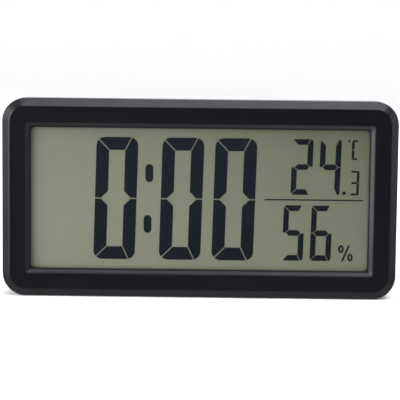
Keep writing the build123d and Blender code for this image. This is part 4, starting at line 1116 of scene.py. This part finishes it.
@dataclass
class Display:
    """Window pane, display panel and the bracket that clamps it."""

    screws: ScrewSize = ScrewSize.PANEL

    def film(self) -> DisplayFilm:
        """Return the film's finish, spread over the panel's own width and height."""
        low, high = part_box("lcd_polarizer")
        return DisplayFilm("display_film", FILM_PAINTED_LIT, FILM_PAINTED_SHADE, low[0], high[0], low[2], high[2])

    def ink(self) -> DisplayInk:
        """Return the strokes' finish, spread over their own height."""
        low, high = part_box("lcd_segments")
        return DisplayInk("display_ink", STROKE_INK, low[2], high[2])

    def build(self) -> None:
        """Dress the stack from the pane back to the bracket."""
        SHOP.dress(GASKET_TAPE, "lens_gasket")
        SHOP.dress(LENS_PANE, "display_lens")
        SHOP.dress(self.film(), "lcd_polarizer")
        SHOP.dress(self.ink(), "lcd_segments")
        SHOP.dress(DISPLAY_GLASS, "lcd_front_glass", "lcd_rear_glass")
        SHOP.dress(REFLECTOR_FOIL, "lcd_reflector")
        SHOP.dress(ZEBRA_RUBBER, "elastomer_strip")
        SHOP.dress(BRACKET_PLASTIC, "display_bracket")
        PanScrew("bracket_screws", *self.screws.value).build()


# Millimetres of X and Z from the middle of a part to its legs.
LEG_OFFSETS = {"key_switches": ((-9.45, -2.95, 2.95, 9.45), (-7.25, -2.75, 2.75, 7.25)),
               "temperature_sensor": ((-0.7, 0.7), (0.0,)),
               "humidity_sensor": ((-3.2, 3.2), (-3.0, 3.0)),
               "clock_crystal": ((-3.78,), (-0.4, 0.4))}


@dataclass
class CircuitBoard:
    """Board with its parts, copper routes and solder."""

    screws: ScrewSize = ScrewSize.PANEL
    trace_width: float = 0.5 * MM
    trace_height: float = 0.04 * MM
    trace_bend: float = 1.2 * MM
    bend_points: int = 4
    resistor_count: int = 6
    resistor_pitch: float = 4.0 * MM
    cap_share: float = 0.2
    core_height_share: float = 0.86
    glaze_width_share: float = 0.82
    glaze_height_share: float = 0.06
    fillet_radius: float = 0.75 * MM
    fillet_height: float = 0.45 * MM
    fillet_foot_share: float = 0.62
    fillet_neck_share: float = 0.3
    fillet_sides: int = 14
    lead_radius: float = 0.55 * MM

    @property
    def surface(self) -> float:
        """Return the level of the board's back along Y."""
        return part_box("main_board")[1][1]

    @property
    def first_resistor(self) -> float:
        """Return the X of the row's first resistor."""
        low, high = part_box("chip_resistors")
        return (low[0] + high[0] - self.resistor_pitch * (self.resistor_count - 1)) / 2

    def routes(self) -> list[Route]:
        """Lay out the copper.

        Returns:
            The routes, each as millimetres of X and Z on the board.
        """
        row = [(self.first_resistor + n * self.resistor_pitch) / MM
               for n in range(self.resistor_count)]
        fan = [[(x, 14.7), (x, 17.3 + 0.4 * abs(2.5 - n)), (-20.4 + 1.8 * n, 20.2)]
               for n, x in enumerate(row)]
        drop = [[(x, 12.3), (x, 9.4)] for x in row]
        keys = [[(-22, 27), (-34, 27), (-37, 30.6), (-42.4, 30.6)],
                [(-22, 26), (-33, 26), (-39, 25), (-50, 25), (-54, 28.4), (-54.8, 28.4)],
                [(-22, 24.6), (-32, 24.6), (-38.6, 18.2), (-42.4, 18.2)],
                [(-21, 22.4), (-30, 22.4), (-39, 13.4), (-51, 13.4), (-54.8, 18.2)]]
        right = [[(-9.7, 26.4), (-3, 26.4), (0.4, 23.9), (2.9, 23.9)],
                 [(-9.7, 24.2), (-3, 24.2), (-1.6, 23.1), (2.9, 23.1)],
                 [(-11, 30), (-4, 30), (6, 39), (31.6, 39)],
                 [(-12, 31), (-5, 31), (6, 41.6), (31.6, 41.6)],
                 [(-9.7, 22), (1, 18), (40, 18), (45, 23), (49.2, 29)],
                 [(-10.6, 21), (0, 16.4), (42, 16.4), (47, 21), (49.2, 25.6), (51, 27.4)],
                 [(-12, 19.8), (0, 14.8), (52, 14.8), (61.3, 26), (61.3, 31)]]
        power = [[(34, 44.0), (34, 42.4)], [(38, 44.0), (38, 34), (20, 27), (-9.6, 27.6)]]
        return fan + drop + keys + right + power

    def traces(self) -> None:
        """Sweep a flat copper strip along every route."""
        tree = GeometryRecipe("trace_recipe", {"Trace Width": self.trace_width,
                                               "Trace Height": self.trace_height,
                                               "Bend Radius": self.trace_bend})
        size = tree.given
        path = tree.add("GeometryNodeMeshToCurve", {"Mesh": size["Geometry"]}).outputs[0]
        path = tree.add("GeometryNodeFilletCurve", {
            "Curve": path, "Radius": size["Bend Radius"], "Count": self.bend_points,
            "Limit Radius": True}, mode="POLY").outputs[0]
        path = tree.add("GeometryNodeSetCurveNormal", {"Curve": path}, mode="Z_UP").outputs[0]
        strip = tree.add("GeometryNodeCurvePrimitiveQuadrilateral", {
            "Width": size["Trace Width"], "Height": size["Trace Height"]}).outputs[0]
        upright = tree.moved(tree.swept(path, strip), (0, self.surface, 0), (math.pi / 2, 0, 0))
        tree.close(upright, TRACE_MASK)
        points: list[Vector] = []
        runs: list[tuple[int, int]] = []
        for route in self.routes():
            runs += [(len(points) + n, len(points) + n + 1) for n in range(len(route) - 1)]
            points += [Vector((x * MM, z * MM, 0)) for x, z in route]
        piece = tree.bake("board_traces", points, runs)
        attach(piece, "case")

    def resistors(self) -> None:
        """Make the row of chip resistors with plated end caps."""
        low, high = (Vector(corner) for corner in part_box("chip_resistors"))
        width = high.x - low.x - self.resistor_pitch * (self.resistor_count - 1)
        tree = GeometryRecipe("chip_resistor_recipe", {
            "Body Width": width, "Body Length": high.z - low.z, "Body Height": high.y - low.y,
            "Cap Share": self.cap_share})
        size = tree.given
        cap = tree.part("Body Length", size["Cap Share"])
        reach = tree.calculate("SUBTRACT", size["Body Length"], cap)
        half = tree.calculate("MULTIPLY", reach, 0.5)
        raised = tree.part("Body Height", 0.5)
        middle = tree.calculate("SUBTRACT", reach, cap)
        core_height = tree.part("Body Height", self.core_height_share)
        core_level = tree.calculate("MULTIPLY", core_height, 0.5)
        core = tree.block(size["Body Width"], middle, core_height, tree.vector(z=core_level))
        glaze = tree.block(tree.part("Body Width", self.glaze_width_share), middle,
                           tree.part("Body Height", self.glaze_height_share),
                           tree.vector(z=core_height))
        ends = [tree.block(size["Body Width"], cap, size["Body Height"],
                           tree.vector(y=side, z=raised))
                for side in (half, tree.calculate("MULTIPLY", half, -1.0))]
        caps = tree.finished(tree.joined(*ends), SOLDER)
        tree.close(tree.stood(tree.joined(tree.finished(core, SENSOR_PLASTIC),
                                          tree.finished(glaze, RESISTOR_BODY), caps)))
        level = (low.z + high.z) / 2
        piece = tree.bake("chip_resistors_capped", [
            Vector((self.first_resistor + n * self.resistor_pitch, low.y, level))
            for n in range(self.resistor_count)])
        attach(piece, "case")
        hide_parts("chip_resistors")

    def joints(self) -> list[Vector]:
        """Place the solder joints beside the middles of the parts that they hold.

        Returns:
            The joints, on the board's back.
        """
        spots = []
        for node, (across, upward) in LEG_OFFSETS.items():
            low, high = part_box(node)
            spots += [Vector(((low[0] + high[0]) / 2 + x * MM, self.surface,
                              (low[2] + high[2]) / 2 + z * MM)) for x in across for z in upward]
        for lead in ("lead_red", "lead_black"):
            low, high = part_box(lead)
            spots.append(Vector((high[0] - self.lead_radius, self.surface, low[2])))
        return spots

    def solder(self) -> None:
        """Set a small solder fillet at every joint on the board."""
        tree = GeometryRecipe("solder_recipe", {"Fillet Radius": self.fillet_radius,
                                                "Fillet Height": self.fillet_height})
        foot = tree.part("Fillet Radius", self.fillet_foot_share)
        neck = tree.part("Fillet Radius", self.fillet_neck_share)
        half = tree.part("Fillet Height", 0.5)
        sides = self.fillet_sides
        mound = tree.joined(tree.cone(tree.given["Fillet Radius"], foot, half, sides=sides),
                            tree.cone(foot, neck, half, half, sides))
        tree.close(tree.stood(mound), SOLDER)
        piece = tree.bake("solder_fillets", self.joints())
        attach(piece, "case")

    def build(self) -> None:
        """Dress the board and its parts, then add copper, solder and screws."""
        SHOP.dress(BOARD_LAMINATE, "main_board")
        SHOP.dress(BLACK_EPOXY, "controller_blob")
        SHOP.dress(STEEL_CAN, "clock_crystal")
        SHOP.dress(CAPACITOR_SLEEVE, "board_capacitor")
        SHOP.dress(SENSOR_PLASTIC, "humidity_sensor")
        SHOP.dress(BEAD_RESIN, "temperature_sensor")
        SHOP.dress(SWITCH_PLASTIC, "key_switches")
        self.traces()
        self.resistors()
        self.solder()
        PanScrew("board_screws", *self.screws.value).build()


class Key(Enum):
    """The four keys in the back."""

    MODE = "mode"
    UP = "up"
    DOWN = "down"
    UNIT = "unit"


@dataclass
class KeyPad:
    """Key caps and the switch plungers that move with them."""

    keys: Sequence[Key] = tuple(Key)

    def build(self) -> None:
        """Dress each cap and its plunger."""
        for key in self.keys:
            SHOP.dress(KEY_PLASTIC, f"{key.value}_button")
            SHOP.dress(PLUNGER_PLASTIC, f"{key.value}_plunger")


class PlusEnd(Enum):
    """The side of the bay that a cell's plus end points to."""

    LEFT = "-X"
    RIGHT = "+X"


@dataclass
class PowerSupply:
    """Two cells, their contacts and leads, and the door over them."""

    upper_cell: PlusEnd = PlusEnd.RIGHT
    lower_cell: PlusEnd = PlusEnd.LEFT

    def sleeve(self, node: str, end: PlusEnd) -> CellSleeve:
        """Turn a cell's finish to its plus end.

        Args:
            node: The cell.
            end: Where its plus end points to.

        Returns:
            The finish.
        """
        low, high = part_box(node)
        plus, minus = (high[0], low[0]) if end is PlusEnd.RIGHT else (low[0], high[0])
        return CellSleeve(f"{node}_sleeve", CELL_FILM, CELL_BAND, CELL_STEEL, plus, minus)

    def build(self) -> None:
        """Dress the bay's parts."""
        SHOP.dress(self.sleeve("battery_upper", self.upper_cell), "battery_upper")
        SHOP.dress(self.sleeve("battery_lower", self.lower_cell), "battery_lower")
        SHOP.dress(PLATED_STEEL, "contact_bridge", "contact_positive", "contact_negative")
        SHOP.dress(RED_WIRE, "lead_red")
        SHOP.dress(BLACK_WIRE, "lead_black")
        SHOP.dress(COVER_PLASTIC, "battery_door")


@dataclass
class Stand:
    """Fold-out leg and its pin."""

    def build(self) -> None:
        """Dress the leg and the pin."""
        SHOP.dress(STAND_PLASTIC, "support_stand")
        SHOP.dress(SCREW_STEEL, "stand_pin")


@dataclass
class SoftBox:
    """A large soft lamp that faces the clock."""

    name: str
    place: Vector
    width: float
    height: float
    watts: float
    tint: Colour = WHITE

    def build(self, target: Vector) -> None:
        """Hang the lamp.

        Args:
            target: The point that it faces.
        """
        lamp = bpy.data.lights.new(self.name, "AREA")
        lamp.shape = "RECTANGLE"
        lamp.size = self.width
        lamp.size_y = self.height
        lamp.energy = self.watts
        lamp.color = self.tint
        piece = added(self.name, lamp)
        piece.location = self.place
        piece.rotation_euler = (target - self.place).to_track_quat("-Z", "Y").to_euler()
        log.info("hung %s", self.name)


LAMPS = (
    SoftBox("top_box", Vector((0.18, -0.28, 1.0)), width=1.1, height=0.7, watts=10.8,
            tint=(0.90, 0.885, 1.0)),
    SoftBox("left_box", Vector((-1.0, -0.5, 0.3)), width=0.5, height=0.8, watts=15.0,
            tint=(0.97, 0.98, 1.0)),
    SoftBox("right_box", Vector((1.15, 0.15, 0.3)), width=0.6, height=0.8, watts=2.6),
    SoftBox("back_box", Vector((0.3, 1.1, 0.8)), width=0.9, height=0.7, watts=6.0),
)


@dataclass
class Studio:
    """Paper sweep, lamps, room light and the camera, whose angles are in degrees."""

    target: Vector
    eye: Vector
    turn: float
    tilt: float
    roll: float
    lamps: Sequence[SoftBox] = LAMPS
    lens: float = 144.0
    sensor: float = 36.0
    nearest: float = 0.01
    farthest: float = 20.0
    paper_flat: float = 1.6
    paper_bend: float = 0.7
    paper_top: float = 1.9
    bend_steps: int = 14
    ring_steps: int = 96
    room_strength: float = 0.86
    gloss_tint: Colour = (0.96, 0.96, 1.0)
    behind_fade: Span = (-0.75, -0.25)
    behind_strength: float = 0.5
    table_fade: Span = (-0.19, -0.45)
    table_strength: float = 0.68

    def paper(self) -> None:
        """Turn a floor that sweeps up into a wall all round the clock."""
        profile = [(self.paper_flat / 2, 0.0), (self.paper_flat, 0.0)]
        for step in range(1, self.bend_steps + 1):
            angle = math.pi / 2 * step / self.bend_steps
            profile.append((self.paper_flat + self.paper_bend * math.sin(angle),
                            self.paper_bend * (1 - math.cos(angle))))
        profile.append((self.paper_flat + self.paper_bend, self.paper_top))
        count = self.ring_steps
        ways = [(math.cos(math.tau * n / count), math.sin(math.tau * n / count))
                for n in range(count)]
        points = [(radius * x, radius * y, level) for radius, level in profile for x, y in ways]
        points.append((0.0, 0.0, 0.0))
        steps = [(n, (n + 1) % count) for n in range(count)]
        faces = [(len(points) - 1, n, m) for n, m in steps]
        for ring in range(0, count * (len(profile) - 1), count):
            faces += [(ring + n, ring + count + n, ring + count + m, ring + m) for n, m in steps]
        mesh = bpy.data.meshes.new("paper_sweep")
        mesh.from_pydata(points, [], faces)
        mesh.shade_smooth()
        mesh.materials.append(SHOP.material(STUDIO_PAPER))
        piece = added("paper_sweep", mesh)
        piece.visible_glossy = False
        log.info("laid the paper sweep")

    def room(self) -> None:
        """Fill the room with pale light, which gloss sees only behind and on the table."""
        world = bpy.data.worlds.new("studio_room")
        world.use_nodes = True
        sheet = NodeSheet(world.node_tree)
        sheet.tree.nodes.clear()
        pale = sheet.add("ShaderNodeBackground", {"Color": (*WHITE, 1),
                                                  "Strength": self.room_strength}).outputs[0]
        way = sheet.add("ShaderNodeTexCoord").outputs["Generated"]
        split = sheet.add("ShaderNodeSeparateXYZ", {0: way}).outputs
        behind = sheet.remap(split["Y"], self.behind_fade, (0.0, self.behind_strength))
        table = sheet.remap(split["Z"], self.table_fade, (0.0, self.table_strength))
        dim = sheet.add("ShaderNodeBackground", {
            "Color": (*self.gloss_tint, 1),
            "Strength": sheet.calculate("MAXIMUM", behind, table)}).outputs[0]
        path = sheet.add("ShaderNodeLightPath").outputs["Is Glossy Ray"]
        mixed = sheet.add("ShaderNodeMixShader", {0: path, 1: pale, 2: dim}).outputs[0]
        sheet.add("ShaderNodeOutputWorld", {"Surface": mixed})
        bpy.context.scene.world = world
        view = bpy.context.scene.view_settings
        view.view_transform = "Standard"
        view.look = "None"
        log.info("filled the room with light")

    def camera(self) -> None:
        """Set the camera where the photograph was taken from."""
        data = bpy.data.cameras.new("photo_camera")
        data.lens = self.lens
        data.sensor_width = self.sensor
        data.clip_start = self.nearest
        data.clip_end = self.farthest
        camera = added("photo_camera", data)
        camera.matrix_world = (Matrix.Translation(self.eye)
                               @ Matrix.Rotation(math.radians(-self.turn), 4, "Z")
                               @ Matrix.Rotation(math.radians(90 - self.tilt), 4, "X")
                               @ Matrix.Rotation(math.radians(self.roll), 4, "Z"))
        bpy.context.scene.camera = camera
        log.info("set the camera")

    def build(self) -> None:
        """Make the whole studio."""
        self.paper()
        self.room()
        for lamp in self.lamps:
            lamp.build(self.target)
        self.camera()


def main() -> None:
    """Build each sub-assembly in order, then the studio."""
    logging.basicConfig(level=logging.INFO, format="%(name)s %(message)s")
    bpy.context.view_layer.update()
    for group in (Housing(), Display(), CircuitBoard(), KeyPad(), PowerSupply(), Stand()):
        group.build()
        log.info("finished %s", type(group).__name__)
    Studio(target=Vector((0, 0, 41.5 * MM)), eye=Vector((5.99, -674.04, 112.44)) * MM,
           turn=-0.5, tilt=6.121, roll=0.611).build()


if __name__ == "__main__":
    main()
